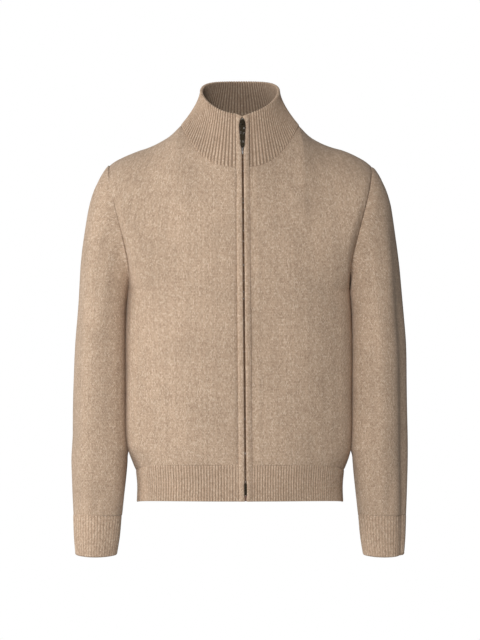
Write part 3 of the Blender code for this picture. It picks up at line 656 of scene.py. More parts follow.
def body_out(face, grid):
    """The outward direction at each point of a half."""
    out = outward(grid) * (-1 if face is BACK else 1)
    level_zero = int(np.searchsorted(body_levels(), 0))
    out[: level_zero + 1, -1] = (1, 0, 0)
    out[0, :, 2] = 0
    for column in range(NECK_COLUMNS, grid.shape[1]):
        x = grid[-1, column, 0]
        slope = (shoulder_height(x + 0.002) - shoulder_height(x - 0.002)) / 0.004
        out[-1, column] = (-slope, 0, 1)
    if face is BACK:
        out[:, 0, 0] = 0
    return unit(out)


def mirrored(grid, side):
    """The wearer's left half, or where side is -1 the right one, with its columns turned round."""
    return grid if side > 0 else (grid * (-1, 1, 1))[:, ::-1]


def both_halves(half, flip=(-1, 1, 1)):
    """The whole back from its half on the wearer's left, with its columns from there to the right."""
    return np.concatenate([(half * flip)[:, :0:-1], half], axis=1)[:, ::-1]


# Soft creases of the fronts and back: start and end as (x, z), width and depth
FRONT_CREASES = (
    Crease((-0.185, -0.060), (-0.120, -0.300), 0.018, 0.0018),
    Crease((-0.205, -0.110), (-0.165, -0.330), 0.013, 0.0018),
    Crease((0.190, -0.070), (0.140, -0.290), 0.020, 0.0010),
    Crease((0.190, -0.150), (0.160, -0.340), 0.014, 0.0008),
    Crease((-0.100, -0.470), (-0.070, -0.550), 0.014, -0.0012),
    Crease((0.060, -0.450), (0.085, -0.550), 0.016, -0.0012),
    Crease((0.130, -0.480), (0.120, -0.552), 0.012, 0.0012),
    Crease((-0.150, -0.440), (-0.140, -0.552), 0.012, 0.0012),
    Crease((0.075, -0.035), (0.150, -0.120), 0.012, 0.0012),
    Crease((-0.080, -0.030), (-0.150, -0.100), 0.012, 0.0010),
)
BACK_CREASES = (
    Crease((-0.185, -0.080), (-0.110, -0.290), 0.018, 0.0028),
    Crease((0.180, -0.070), (0.120, -0.310), 0.016, 0.0026),
    Crease((-0.060, -0.420), (-0.045, -0.550), 0.016, 0.0016),
    Crease((0.080, -0.430), (0.070, -0.552), 0.015, 0.0016),
    Crease((-0.130, -0.400), (-0.140, -0.545), 0.013, -0.0014),
    Crease((0.020, -0.020), (0.130, -0.060), 0.014, 0.0010),
)


def beside_armhole(grid):
    """How far the crease of the wearer's left armhole shows at each point: along its front only."""
    return bump(grid[..., 2], -1, CREASE_TOP, 0.035) * np.clip(-grid[..., 1] / CREASE_FRONT, 0, 1)


def body_seams(half, depth, groove=0.0, crease=0.0):
    """The seams of half the front or back: at the side and armhole, shoulder and neck, hem and band."""
    across, up = runs(half, axis=1), runs(half, axis=0)
    return (
        (across[:, -1:] - across, depth * 0.3, 0.0050),
        (across[:, -1:] - across, crease * beside_armhole(half), BODY_CREASE_HALF),
        (up[-1:] - up, depth * 0.3, SEAM_HALF),
        (up, depth * 0.5, SEAM_HALF),
        (across - UNDER_BAND, depth * groove, SEAM_HALF),
    )


def fuller_sides(half):
    """Half a front with its cloth standing squarer beside its armhole and side seam."""
    across = runs(half, axis=1)
    inward, height = across[:, -1:] - across, half[..., 2]
    fuller = FULLER * bump(inward, 0.016, 1, 0.016) * bump(inward, -1, 0.020, FULLER_REACH)
    fuller *= bump(height, FULLER_BOTTOM, 1, FULLER_FADE[0]) * bump(height, -1, FULLER_TOP, FULLER_FADE[1])
    moved = half.copy()
    moved[..., 1] -= fuller
    return moved


def build_front(side, material, cloth):
    half = fuller_sides(body_grid(FRONT, side))
    out = body_out(FRONT, half)
    crease = BODY_CREASE if side > 0 else 0.0
    half = drawn_in(half, out, body_seams(half, cloth.seam_depth, GROOVE[side], crease), FRONT_LIMIT)
    grid, out = mirrored(half, side), mirrored(out, side)
    grid = slimmed(softened(creased(grid, out, FRONT_CREASES), out, 5))
    name = "front_left" if side > 0 else "front_right"
    knit = knit_of(grid)
    if side < 0:
        knit[..., 0] -= knit[:, -1:, 0]
    piece = sheet_grid(name + "_jersey", grid, knit, material, cloth.wall)
    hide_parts(name)


def build_back(material, cloth):
    half = body_grid(BACK, 1)
    out = body_out(BACK, half)
    half = drawn_in(half, out, body_seams(half, cloth.seam_depth))
    grid, out = both_halves(half), both_halves(out)
    grid = slimmed(softened(creased(grid, out, BACK_CREASES), out, 9))
    piece = sheet_grid("back_jersey", grid, knit_of(grid), material, cloth.wall)
    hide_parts("back")


# Hem rib


def hem_point(face, share, height):
    run, inward = part_round(share, QUARTER)
    depth = on_curve(face.depths, height)[0]
    half = on_curve(HEM_HALF, height)[0]
    rise = (height - HEM_BOTTOM) / (HEM_SEAM - HEM_BOTTOM)
    drop = BOTTOM_DROP + (SEAM_DROP - BOTTOM_DROP) * rise
    return points(half * run, face.sign * depth * (1 - inward), height - drop * share**3)


def rounded_in(heights, edge, grid, out, roll=0.0016):
    """The rows near a free edge rolled in, as knit does at its edge."""
    close = np.clip(1 - np.abs(heights - edge) / roll, 0, 1)[:, None, None]
    return grid - out * (1 - np.sqrt(np.maximum(1 - close**2, 0))) * roll * 0.7


TUCK = 0.0025  # how far a rib's last row reaches up inside the jersey
RIB_COLUMNS = 8  # columns of points to a rib


def rib_heights(bottom, seam, rows):
    """Heights of a rib's rows: close over its rolled edge, then even, with the last tucked in."""
    edge = bottom + np.array([0, 0.0003, 0.0007, 0.0012, 0.0018])
    return np.concatenate([edge, np.linspace(bottom + 0.004, seam, rows), [seam + TUCK]])


def ribbed(grid, out, number, heights, ends, cloth, inset=0.0):
    """A rib's grid with its ribs raised, its free edge rolled in and its last row tucked in."""
    swell = rib_swell(number)[None, :] * bump(heights, ends[0] + 0.001, ends[1] - 0.001, 0.003)[:, None]
    tuck = 0.0004 * np.clip((heights[:, None] - ends[1]) / TUCK, 0, 1)
    lift = (swell - 0.6) * cloth.rib_height - tuck - inset
    return rounded_in(heights, ends[0], grid, out) + out * lift[..., None]


def hem_grid(face, side, ribs):
    """Half the hem rib, on the wearer's left, with its ribs numbered from its first edge."""
    heights = rib_heights(HEM_BOTTOM, HEM_SEAM, 20)
    columns = ribs * RIB_COLUMNS
    start = 0.0
    if face is FRONT:
        levels = np.array([-0.5750])
        start = front_start(side, levels, lambda share, height: hem_point(FRONT, share, height))[0]
    fine = np.linspace(start, 1, 400)
    run = runs(hem_point(face, fine, np.full_like(fine, HEM_BOTTOM)))
    shares = np.interp(np.linspace(0, run[-1], columns + 1), run, fine)
    grid = hem_point(face, shares[None, :], heights[:, None])
    if face is FRONT:
        grid[:, 0, 0] = front_edge_x(side, heights) - 0.001
    return heights, grid, np.linspace(0, ribs, columns + 1)


def ribbed_half(face, side, ribs, cloth):
    heights, grid, number = hem_grid(face, side, ribs)
    out = outward(grid) * (-1 if face is BACK else 1)
    out[..., 2] = 0
    out[:, -1] = (1, 0, 0)
    out = unit(out)
    grid = ribbed(grid, out, number, heights, (HEM_BOTTOM, HEM_SEAM), cloth)
    return grid, points(number[None, :], heights[:, None])


def build_hem(material, cloth):
    for side, name in ((1, "hem_rib_left"), (-1, "hem_rib_right")):
        half, flat = ribbed_half(FRONT, side, HEM_RIBS_FRONT, cloth)
        grid = mirrored(half, side)
        piece = sheet_grid(name + "_knit", grid, flat[:, ::side], material, cloth.rib_wall)
        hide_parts(name)
    half, flat = ribbed_half(BACK, 1, HEM_RIBS_BACK // 2, cloth)
    grid, flat = both_halves(half), both_halves(flat, (-1, 1))
    piece = sheet_grid("hem_rib_back_knit", grid, flat, material, cloth.rib_wall)
    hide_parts("hem_rib_back")


# Sleeves and cuffs

SLEEVE_COLUMNS = 112
SLEEVE_ROUND = 0.36  # about how far it is round a sleeve
CAP_ROWS = 70
LOWER_ROWS = 100
UNDER_RIM = 0.0018  # how far a sleeve starts under the body's edge
# How hard a sleeve's cap sets off from the armhole and comes down into the tube below: on its inner
# side, and how much more on its outer side
CAP_PULL = (0.016, 0.14)
TUBE_PULL = (0.05, 0.34)
# How far a sleeve's inner side may be pressed in against the body, and between which heights
PRESSED_IN = 0.0045
PRESSED_BETWEEN = (-0.515, -0.252)
Fold = namedtuple("Fold", "top bottom angle lean half_width depth")
# Soft upright folds: top, bottom, angle in degrees from the outer side to the front at the top, how
# far it turns on the way down, half width in degrees, depth
LEFT_SLEEVE_FOLDS = (
    Fold(-0.100, -0.800, 36, -12, 28, 0.0096),
    Fold(-0.220, -0.620, 98, -10, 24, -0.0026),
    Fold(-0.180, -0.660, 140, 4, 30, -0.0090),
    Fold(-0.120, -0.300, 70, 20, 16, 0.0016),
    Fold(-0.330, -0.600, 205, -15, 26, 0.0036),
    Fold(-0.140, -0.420, 300, 10, 24, 0.0030),
    Fold(-0.560, -0.640, 70, 10, 14, 0.0016),
)
RIGHT_SLEEVE_FOLDS = (
    Fold(-0.170, -0.660, 136, 0, 30, -0.0090),
    Fold(-0.260, -0.630, 70, -12, 26, -0.0022),
    Fold(-0.100, -0.330, 92, -18, 14, 0.0016),
    Fold(-0.300, -0.560, 200, 10, 26, 0.0036),
    Fold(-0.160, -0.400, 290, -8, 22, 0.0028),
    Fold(-0.570, -0.640, 40, 12, 14, 0.0014),
    Fold(-0.590, -0.640, 95, -8, 12, 0.0014),
)


def armhole():
    """The body's rim round the wearer's left armhole and the way out of it, from the shoulder by the
    front to the underarm and up the back."""
    rims, ways = [], []
    for face in (FRONT, BACK):
        grid = body_grid(face, 1)
        out = body_out(face, grid)
        first = int(np.searchsorted(body_levels(), 0)) - 1
        rim, normal = grid[first:, -1], out[first:, -1].copy()
        rim[0] = body_point(face, 1.0, 0.0)
        normal[0] = (1, 0, 0)
        for _ in range(6):
            normal[1:-1] = unit(normal[:-2] + normal[1:-1] * 2 + normal[2:])
        rims.append(rim)
        ways.append(normal)
    rim = np.concatenate([rims[0][::-1], rims[1][1:]])
    normal = np.concatenate([ways[0][::-1], ways[1][1:]])
    ahead = np.gradient(rim, axis=0)
    ahead[0] = ahead[-1] = (0, -1, 0)
    return rim, unit(np.cross(normal, ahead)), len(rims[0]) - 1


def tube_point(table, height, angle):
    """Points round a sleeve or cuff; the angle runs from the outer side to the front."""
    inner_x, outer_x, middle_y, half_depth = on_curve(table, height)
    x = (inner_x + outer_x) / 2 + (outer_x - inner_x) / 2 * np.cos(angle)
    return points(x, middle_y - half_depth * np.sin(angle), height + 0 * angle)


def sleeve_grid():
    """The wearer's left sleeve, as rows of points round it from its inner side by the back, and the
    angle of each column."""
    rim, leaving, bottom = armhole()
    run = runs(rim)
    angles = np.linspace(-math.pi, math.pi, SLEEVE_COLUMNS + 1)
    turn = np.mod(angles, 2 * math.pi)
    front, back = run[bottom], run[-1] - run[bottom]
    place = np.where(turn <= math.pi, turn / math.pi * front, front + (turn / math.pi - 1) * back)
    place[0] = place[-1] = front
    start = along(rim, place)
    way = unit(points(*(np.interp(place, run, leaving[:, i]) for i in range(3))))
    end = tube_point(SLEEVE, np.full_like(angles, SLEEVE_START), angles)
    past = tube_point(SLEEVE, np.full_like(angles, SLEEVE_START - 0.01), angles)
    over = ((1 + np.cos(angles)) / 2)[:, None]
    first_pull = way * (CAP_PULL[0] + CAP_PULL[1] * over**1.2)
    last_pull = unit(past - end) * (TUBE_PULL[0] + TUBE_PULL[1] * over)
    rows = [start - way * UNDER_RIM]
    for t in np.linspace(0, 1, CAP_ROWS + 1) ** 1.3:
        blend = t * t * (3 - 2 * t)
        row = start * (1 - blend) + end * blend
        rows.append(row + first_pull * t * (1 - t) ** 2 - last_pull * t * t * (1 - t))
    heights = np.linspace(SLEEVE_START, CUFF_SEAM, LOWER_ROWS + 1)[1:]
    lower = tube_point(SLEEVE, heights[:, None], angles[None, :])
    return np.concatenate([np.array(rows), lower]), angles


def fold_depths(grid, angles, folds):
    """How far a sleeve's soft upright folds sink each of its points."""
    height, degrees = grid[..., 2], np.degrees(np.mod(angles, 2 * math.pi))[None, :]
    sunk = np.zeros_like(height)
    for fold in folds:
        down = np.clip((fold.top - height) / (fold.top - fold.bottom), 0, 1)
        off = (degrees - fold.angle - fold.lean * down + 180) % 360 - 180
        fade = np.sin(math.pi * down) ** 0.7
        sunk += fold.depth * fade * np.exp(-((off / fold.half_width) ** 2) * 1.6)
    return sunk


def against_body(grid, angles):
    """The sleeve with its inner side pressed against the body, from the underarm nearly to the hem."""
    depth = np.where(
        grid[..., 1] < 0, on_curve(FRONT_DEPTH, grid[..., 2])[0], on_curve(BACK_DEPTH, grid[..., 2])[0]
    )
    round_off = np.clip(np.abs(grid[..., 1]) / depth, 0, 1) ** (1 / ROUND)
    level = np.clip((grid[..., 2] + SEAM_DROP * 0.5 - HEM_SEAM) / (UNDERARM - HEM_SEAM), 0, 1)
    height = HEM_SEAM + (UNDERARM - HEM_SEAM) * level
    body_x = on_curve(BODY_HALF, height)[0] * np.sqrt(1 - round_off**2) ** ROUND
    apart = np.clip(grid[..., 0] - body_x + 0.0004, 0, PRESSED_IN)
    apart *= bump(grid[:, 0, 2], *PRESSED_BETWEEN, 0.022)[:, None]
    reach = bump(np.abs(angles), math.radians(138), math.pi, math.radians(32))
    pressed = grid.copy()
    pressed[..., 0] -= apart * reach[None, :]
    return pressed


def build_sleeve(side, name, folds, step, crease, material, cloth):
    """A sleeve whose seam at the armhole lies `step` seam depths under the body's edge, and deeper by
    `crease` along its front."""
    grid, angles = sleeve_grid()
    out = outward(grid, ring=True)
    up = runs(grid, axis=0) - UNDER_RIM
    inner_side = np.exp(-(((np.abs(angles) - math.pi) / 0.9) ** 2))[None, :]
    outer_side = ((1 + np.cos(angles)) / 2)[None, :]
    depth = cloth.seam_depth
    seams = (
        (up, depth * step, SEAM_HALF),
        (up, crease * beside_armhole(grid), SLEEVE_CREASE_HALF),
        (up[-1:] - up, depth * 0.2, SEAM_HALF),
    )
    grid = drawn_in(grid, out, seams, SLEEVE_LIMIT)
    grid[0] -= out[1] * 0.0003
    grid = grid - out * (fold_depths(grid, angles, folds) * (1 - 0.8 * inner_side))[..., None]
    inset = 0.0010 + 0.0022 * bump(grid[..., 2], -0.120, 0.0, 0.100)
    grid = grid - out * (inset * outer_side * np.clip(up / 0.03, 0, 1))[..., None]
    grid = softened(grid, out * ((1 - 0.7 * inner_side) * np.clip(up / 0.02, 0, 1))[..., None], 20 + side)
    grid = against_body(grid, angles)
    grid[:, -1] = grid[:, 0]
    knit = points(SLEEVE_ROUND * angles[None, :] / (2 * math.pi), -runs(grid[::-1], axis=0)[::-1])
    grid, knit = slimmed(grid * (side, 1, 1))[::-1, ::side], knit[::-1, ::side]
    piece = sheet_grid(name + "_jersey", grid, knit, material, cloth.wall)
    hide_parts(name + "_upper", name + "_lower")


def build_cuff(side, name, folds, material, cloth):
    """A cuff with the ends of its sleeve's folds, and its bottom edge rising to its sides."""
    heights = rib_heights(CUFF_BOTTOM, CUFF_SEAM, 22)
    columns = CUFF_RIBS * RIB_COLUMNS
    fine = np.linspace(0, 2 * math.pi, 600)
    run = runs(tube_point(CUFF, np.full_like(fine, CUFF_BOTTOM), fine))
    angles = np.interp(np.linspace(0, run[-1], columns + 1), run, fine)
    grid = tube_point(CUFF, heights[:, None], angles[None, :])
    out = -outward(grid, ring=True)
    out[..., 2] = 0
    out = unit(out)
    number = np.linspace(0, CUFF_RIBS, columns + 1)
    grid = ribbed(grid, out, number, heights, (CUFF_BOTTOM, CUFF_SEAM), cloth, CUFF_INSET)
    grid = grid - out * fold_depths(grid, angles, folds)[..., None]
    down = np.clip((CUFF_SEAM - heights) / (CUFF_SEAM - CUFF_BOTTOM), 0, 1)[:, None]
    grid[..., 2] += CUFF_ROUND * down**2 * np.cos(angles) ** 2
    grid = (grid * (side, 1, 1))[:, ::side]
    flat = points(number[None, ::side], heights[:, None])
    piece = sheet_grid(name + "_knit", grid, flat, material, cloth.rib_wall)
    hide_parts(name)


# Collar


def collar_top(angle):
    """Points of the collar's top edge; the angle runs from the front by the wearer's left to the back."""
    forward, sideways = np.cos(angle), np.sin(angle)
    depth = np.where(forward > 0, -COLLAR_TOP_FRONT[0], COLLAR_TOP_BACK[0])
    height = COLLAR_TOP_FRONT[1] + (COLLAR_TOP_BACK[1] - COLLAR_TOP_FRONT[1]) * (1 - forward) / 2
    return points(COLLAR_TOP_HALF * sideways, -depth * forward, height + COLLAR_SIDE_LIFT * sideways**2)


def neck_rim():
    """The body's neckline from the left front's zip edge round the back to the right front's."""
    halves = []
    for side in (1, -1):
        start = front_start(side, np.array([1.0]))[0]
        front = top_edge(FRONT, np.linspace(start, NECK_SHARE, 200))
        back = top_edge(BACK, np.linspace(NECK_SHARE, 0, 200)[1:])
        halves.append(np.concatenate([front, back]) * (side, 1, 1))
    return np.concatenate([halves[0], halves[1][-2::-1]])


def build_collar(material, cloth):
    """The ribbed collar, doubled over at its top, from the body's neckline up to its own top edge."""
    columns = COLLAR_RIBS * RIB_COLUMNS
    rim = neck_rim()
    base = along(rim, np.linspace(0, runs(rim)[-1], columns + 1))
    first = math.asin(front_edge_x(1, COLLAR_TOP_FRONT[1]) / COLLAR_TOP_HALF)
    last = 2 * math.pi - math.asin(front_edge_x(-1, COLLAR_TOP_FRONT[1]) / COLLAR_TOP_HALF)
    angles = np.linspace(first, last, columns + 1)
    top = collar_top(angles)
    top[:, 2] -= COLLAR_FOLD
    rises = np.concatenate([[0, 0.01, 0.025, 0.045], np.linspace(0.07, 1, 30)])
    rows = []
    for rise in rises:
        flare = (1 - rise) ** (1 + COLLAR_FLARE * np.sin(angles) ** 2)
        row = top + (base - top) * flare[:, None]
        row[:, 2] = base[:, 2] + (top[:, 2] - base[:, 2]) * rise
        rows.append(row)
    plain = np.array(rows)
    out = outward(plain)
    number = np.linspace(0, COLLAR_RIBS, columns + 1)
    swell = rib_swell(number)[None, :] * bump(rises, 0.02, 1, 0.03)[:, None]
    swell = swell * cloth.rib_height * COLLAR_SWELL
    sunk = np.exp(-((rises / 0.03) ** 2))[:, None] * 0.0004 + COLLAR_SUNK * cloth.rib_height
    beside = BESIDE_ZIP * np.exp(-((number / BESIDE_RIBS) ** 2))[None, :]
    outer = plain + out * (swell - (sunk + beside))[..., None]
    outer[0] -= points(0, 0, 0.0020) + out[0] * 0.0003
    inner = plain - out * (COLLAR_WALL + swell * INNER_SWELL + beside * INNER_BESIDE)[..., None]
    lift = np.linalg.norm(plain[-1] - plain[0], axis=-1)
    grid, flat = folded_sheet(outer, inner, points(number, rises[:, None] * lift))
    shape, cells = knit_shape(grid, flat)
    base = [e for e in shape.edges if e.is_boundary and len({cells[v][0] for v in e.verts}) == 1]
    bmesh.ops.bridge_loops(shape, edges=base)
    bmesh.ops.holes_fill(shape, edges=[e for e in shape.edges if e.is_boundary], sides=0)
    bmesh.ops.recalc_face_normals(shape, faces=shape.faces)
    piece = add_piece("collar_knit", shape, material)
    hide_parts("collar")


# Zip


def face_depth(height):
    """How far in front of the middle the cloth's face lies beside the zip."""
    low = on_curve(FRONT_DEPTH, np.minimum(height, NECK_FRONT))[0]
    rise = (height - NECK_FRONT) / (COLLAR_TOP_FRONT[1] - NECK_FRONT)
    high = FRONT.neck_depth + (-COLLAR_TOP_FRONT[0] - FRONT.neck_depth) * rise
    return np.where(height <= NECK_FRONT, low, high)


def beside_zip(height, across, out):
    """Points beside the zip, at a height, a distance across from its centre line and one out."""
    height = np.asarray(height, float)
    step = 0.004
    lean = (face_depth(height + step) - face_depth(height - step)) / (2 * step)
    upright = np.hypot(1, lean)
    return points(zip_x(height) + across, -face_depth(height) - out / upright, height - out * lean / upright)


def band_inner(height):
    """Where a band's inner edge lies, pushed aside by the slider and the retaining box."""
    near = on_curve(BAND_PARTED, height)[0]
    near = near - 0.0003 - 0.0003 * np.clip(-height / 0.02, 0, 1)
    return near + BAND_PARTED_BY_BOX * bump(height, BOX_BOTTOM, BOX_TOP, 0.0060)


BAND_COLUMNS = 26


def build_bands(material):
    """The two edge bands, each a closed flattened tube of knit along the zip."""
    ends = np.array([0, 0.0004, 0.0009, 0.0016, 0.0026])
    middle = np.linspace(HEM_BOTTOM + 0.005, BAND_TOP - 0.005, 300)
    heights = np.concatenate([HEM_BOTTOM + ends, middle, BAND_TOP - ends[::-1]])
    turn = np.linspace(0, 2 * math.pi, BAND_COLUMNS + 1)
    for side, word in ((1, "left"), (-1, "right")):
        near, far = band_inner(heights)[:, None], BAND_OUTER
        # A flattened round, fuller at its inner edge, where the band rolls over the zip.
        place = np.sign(np.cos(turn)) * np.abs(np.cos(turn)) ** 0.6
        rise = np.sign(np.sin(turn)) * np.abs(np.sin(turn)) ** 0.75
        across = (near + far) / 2 + (far - near) / 2 * place
        slope = 1 - 0.8 * np.clip((place - 0.1) / 0.9, 0, 1) ** 1.5
        crown = np.where(rise > 0, (BAND_CROWN + 0.0005 - 0.0004 * place) * slope, -BAND_BACK)
        closing = np.minimum(heights - HEM_BOTTOM, BAND_TOP - heights)[:, None]
        full = np.sqrt(np.clip(closing / 0.0024, 0, 1)) * 0.5 + 0.5
        depth = rise * crown * full
        rib = BAND_RIB * np.sin(heights / BAND_RIB_PITCH * 2 * math.pi)[:, None] * (rise > 0)
        notch = np.clip((heights[:, None] - NOTCH_BOTTOM) / (BAND_TOP - NOTCH_BOTTOM), 0, 1)
        fall = BAND_NOTCH * notch**2 * (1 - across / BAND_OUTER)
        grid = beside_zip(heights[:, None] - fall, side * across, depth + rib)
        knit = points(runs(grid, axis=1), runs(grid, axis=0))
        piece = sheet_grid(f"zip_band_{word}_knit", grid[:, ::-side], knit[:, ::-side], material)
        bm = bmesh.new()
        bm.from_mesh(piece.data)
        bmesh.ops.holes_fill(bm, edges=[e for e in bm.edges if e.is_boundary], sides=0)
        bmesh.ops.recalc_face_normals(bm, faces=bm.faces)
        bm.to_mesh(piece.data)
        bm.free()
        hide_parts(f"zip_band_{word}")


def build_teeth(material, pitch):
    """Two rows of small clasped teeth, each half a pitch from the other, up to the slider."""
    foot = BOX_TOP + 0.0012
    depth = (TEETH_FRONT + TEETH_BACK) / 2
    thick = TEETH_FRONT - TEETH_BACK
    for side, word in ((1, "left"), (-1, "right")):
        shape = bmesh.new()
        first = foot + (pitch / 2 if side < 0 else 0)
        for height in np.arange(first, TEETH_TOP, pitch):
            place = Vector(beside_zip(height, side * 0.0006, depth))
            above = Vector(beside_zip(height + 0.002, side * 0.0006, depth))
            up = (above - place).normalized()
            facing = Vector((0, -up.z, up.y))
            turn = Matrix((Vector((1, 0, 0)), facing, up)).transposed().to_4x4()
            size = Matrix.Diagonal((TOOTH_WIDTH, thick, pitch * TOOTH_SHARE, 1))
            bmesh.ops.create_cube(shape, size=1, matrix=Matrix.Translation(place) @ turn @ size)
        bmesh.ops.bevel(
            shape, geom=shape.edges, offset=TOOTH_ROUND, segments=1, profile=0.5, affect="EDGES", material=-1
        )
        bmesh.ops.recalc_face_normals(shape, faces=shape.faces)
        piece = add_piece(f"zip_teeth_{word}_metal", shape, material)
        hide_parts(f"zip_teeth_{word}")


def build_stop(material):
    """The stiffened ends of the two tapes below the box, which meet between the bands."""
    low, high = HEM_BOTTOM + 0.0006, BOX_BOTTOM - 0.0004
    shape = bmesh.new()
    place = Vector(beside_zip((low + high) / 2, 0.0, (TEETH_FRONT + TEETH_BACK) / 2))
    size = Matrix.Diagonal((2 * BAND_INNER, TEETH_FRONT - TEETH_BACK, high - low, 1))
    bmesh.ops.create_cube(shape, size=1, matrix=Matrix.Translation(place) @ size)
    piece = add_piece("zip_tape_stop", shape, material)
    piece.data.shade_flat()


# Materials


def new_material(name, roughness, metallic=0.0):
    made = bpy.data.materials.new(name)
    made.use_nodes = True
    shader = made.node_tree.nodes["Principled BSDF"]
    shader.inputs["Roughness"].default_value = roughness
    shader.inputs["Metallic"].default_value = metallic
    return made, made.node_tree, shader


def linked(tree, kind, inputs=(), **settings):
    """A node with its settings, whose inputs are values or other nodes' sockets."""
    node = tree.nodes.new(kind)
    for name, value in settings.items():
        setattr(node, name, value)
    for key, value in dict(inputs).items():
        if isinstance(value, bpy.types.NodeSocket):
            tree.links.new(value, node.inputs[key])
        else:
            node.inputs[key].default_value = value
    return node


def maths(tree, operation, first, second=0.0, third=0.0):
    inputs = {0: first, 1: second, 2: third}
    return linked(tree, "ShaderNodeMath", inputs, operation=operation).outputs[0]


def mixed(tree, factor, first, second):
    """A colour between two, as plain colours or sockets."""
    node = tree.nodes.new("ShaderNodeMix")
    node.data_type = "RGBA"
    sockets = {"Factor": node.inputs[0], "A": node.inputs[6], "B": node.inputs[7]}
    for key, value in zip(sockets, (factor, first, second)):
        if isinstance(value, bpy.types.NodeSocket):
            tree.links.new(value, sockets[key])
        else:
            sockets[key].default_value = value if key == "Factor" else (*value, 1)
    return node.outputs[2]


def eased(tree, value, low, high, to_low=0.0, to_high=1.0):
    inputs = {0: value, 1: low, 2: high, 3: to_low, 4: to_high}
    node = linked(tree, "ShaderNodeMapRange", inputs, interpolation_type="SMOOTHSTEP")
    return node.outputs[0]


def wool(name, cloth, wale, course, groove=None):
    """Melange wool knit: chevron stitches across and up the piece's knit map, each leg of its own tone,
    with flecks of darker and paler fibres. On a rib, the map's across counts ribs, its grooves get painted
    shade, `groove` is how far that painted shade also takes the dark fibres' colour, and inner faces get
    painted shade too."""
    made, tree, shader = new_material(name, 0.95)
    flat = tree.nodes.new("ShaderNodeUVMap")
    flat.uv_map = "knit"
    split = linked(tree, "ShaderNodeSeparateXYZ", {0: flat.outputs[0]})
    across = maths(tree, "DIVIDE", split.outputs[0], wale)
    up = maths(tree, "DIVIDE", split.outputs[1], course)
    within = maths(tree, "ABSOLUTE", maths(tree, "SUBTRACT", maths(tree, "FRACT", across), 0.5))
    leg = maths(tree, "ABSOLUTE", maths(tree, "MULTIPLY_ADD", within, 4.0, -1.0))
    leg = maths(tree, "SUBTRACT", 1.0, leg)
    slanted = maths(tree, "ADD", up, maths(tree, "MULTIPLY", within, 1.3))
    loop = maths(tree, "SINE", maths(tree, "MULTIPLY", maths(tree, "FRACT", slanted), math.pi))
    stitch = maths(tree, "MULTIPLY", maths(tree, "POWER", maths(tree, "MAXIMUM", leg, 0.0), 0.6), loop)
    side = maths(tree, "FLOOR", maths(tree, "MULTIPLY", across, 2.0))
    number = {0: side, 1: maths(tree, "FLOOR", slanted), 2: 0.5}
    number = linked(tree, "ShaderNodeCombineXYZ", number).outputs[0]
    tone = linked(tree, "ShaderNodeTexWhiteNoise", {"Vector": number}).outputs[0]
    column = maths(tree, "FLOOR", across)
    column = linked(tree, "ShaderNodeTexWhiteNoise", {"W": column}, noise_dimensions="1D")

    place = linked(tree, "ShaderNodeTexCoord").outputs["Object"]

    def noise(scale, detail):
        inputs = {"Vector": place, "Scale": scale, "Detail": detail, "Roughness": 0.6}
        return linked(tree, "ShaderNodeTexNoise", inputs).outputs[0]

    fine, broad, haze = noise(620.0, 2.0), noise(150.0, 3.0), noise(16.0, 2.0)
    # what the fibres follow, where it starts to colour them and where it does so most, how far, the fibres
    fibres = (
        (fine, 0.50, 0.28, 0.60, cloth.fleck),
        (tone, 0.66, 1.0, 0.38, cloth.fleck),
        (broad, 0.47, 0.27, 0.14, cloth.fleck),
        (tone, 0.30, 0.0, 0.46, cloth.pale),
        (fine, 0.54, 0.72, 0.42, cloth.pale),
    )
    colour = cloth.jersey
    for source, start, full, share, fibre in fibres:
        colour = mixed(tree, eased(tree, source, start, full, 0.0, share), colour, fibre)
    shade = maths(tree, "MULTIPLY_ADD", stitch, 0.32, 0.81)
    shade = maths(tree, "MULTIPLY", shade, eased(tree, column.outputs["Value"], 0.0, 1.0, 0.97, 1.03))
    shade = maths(tree, "MULTIPLY", shade, eased(tree, haze, 0.3, 0.7, 0.955, 1.045))
    if groove:
        # painted shade: a rib's grooves are darkened, and tinted towards the dark fibres' colour, for the
        # shade that falls in them
        crest = maths(tree, "SINE", maths(tree, "MULTIPLY", split.outputs[0], math.pi))
        crest = maths(tree, "POWER", maths(tree, "ABSOLUTE", crest), 0.7)
        # painted shade: the collar's inner face is darkened for the shade inside the collar
        painted_inner_shade = maths(tree, "GREATER_THAN", split.outputs[0], INSIDE / 2)
        shade = maths(tree, "MULTIPLY", shade, maths(tree, "MULTIPLY_ADD", painted_inner_shade, -0.38, 1.0))
        shade = maths(tree, "MULTIPLY", shade, maths(tree, "MULTIPLY_ADD", crest, 0.30, 0.79))
        colour = mixed(tree, maths(tree, "MULTIPLY_ADD", crest, -groove, groove), colour, cloth.fleck)
    scaled = linked(tree, "ShaderNodeVectorMath", {0: colour}, operation="SCALE")
    tree.links.new(shade, scaled.inputs["Scale"])
    tree.links.new(scaled.outputs[0], shader.inputs["Base Color"])
    fuzz = maths(tree, "MULTIPLY_ADD", fine, 0.5, maths(tree, "MULTIPLY", stitch, 0.8))
    raised = linked(tree, "ShaderNodeBump", {"Strength": 0.55, "Distance": 0.0007, "Height": fuzz})
    tree.links.new(raised.outputs[0], shader.inputs["Normal"])
    shader.inputs["Sheen Weight"].default_value = 0.18
    shader.inputs["Sheen Roughness"].default_value = 0.55
    shader.inputs["Sheen Tint"].default_value = (0.95, 0.86, 0.76, 1)
    shader.inputs["Specular IOR Level"].default_value = 0.15
    return made


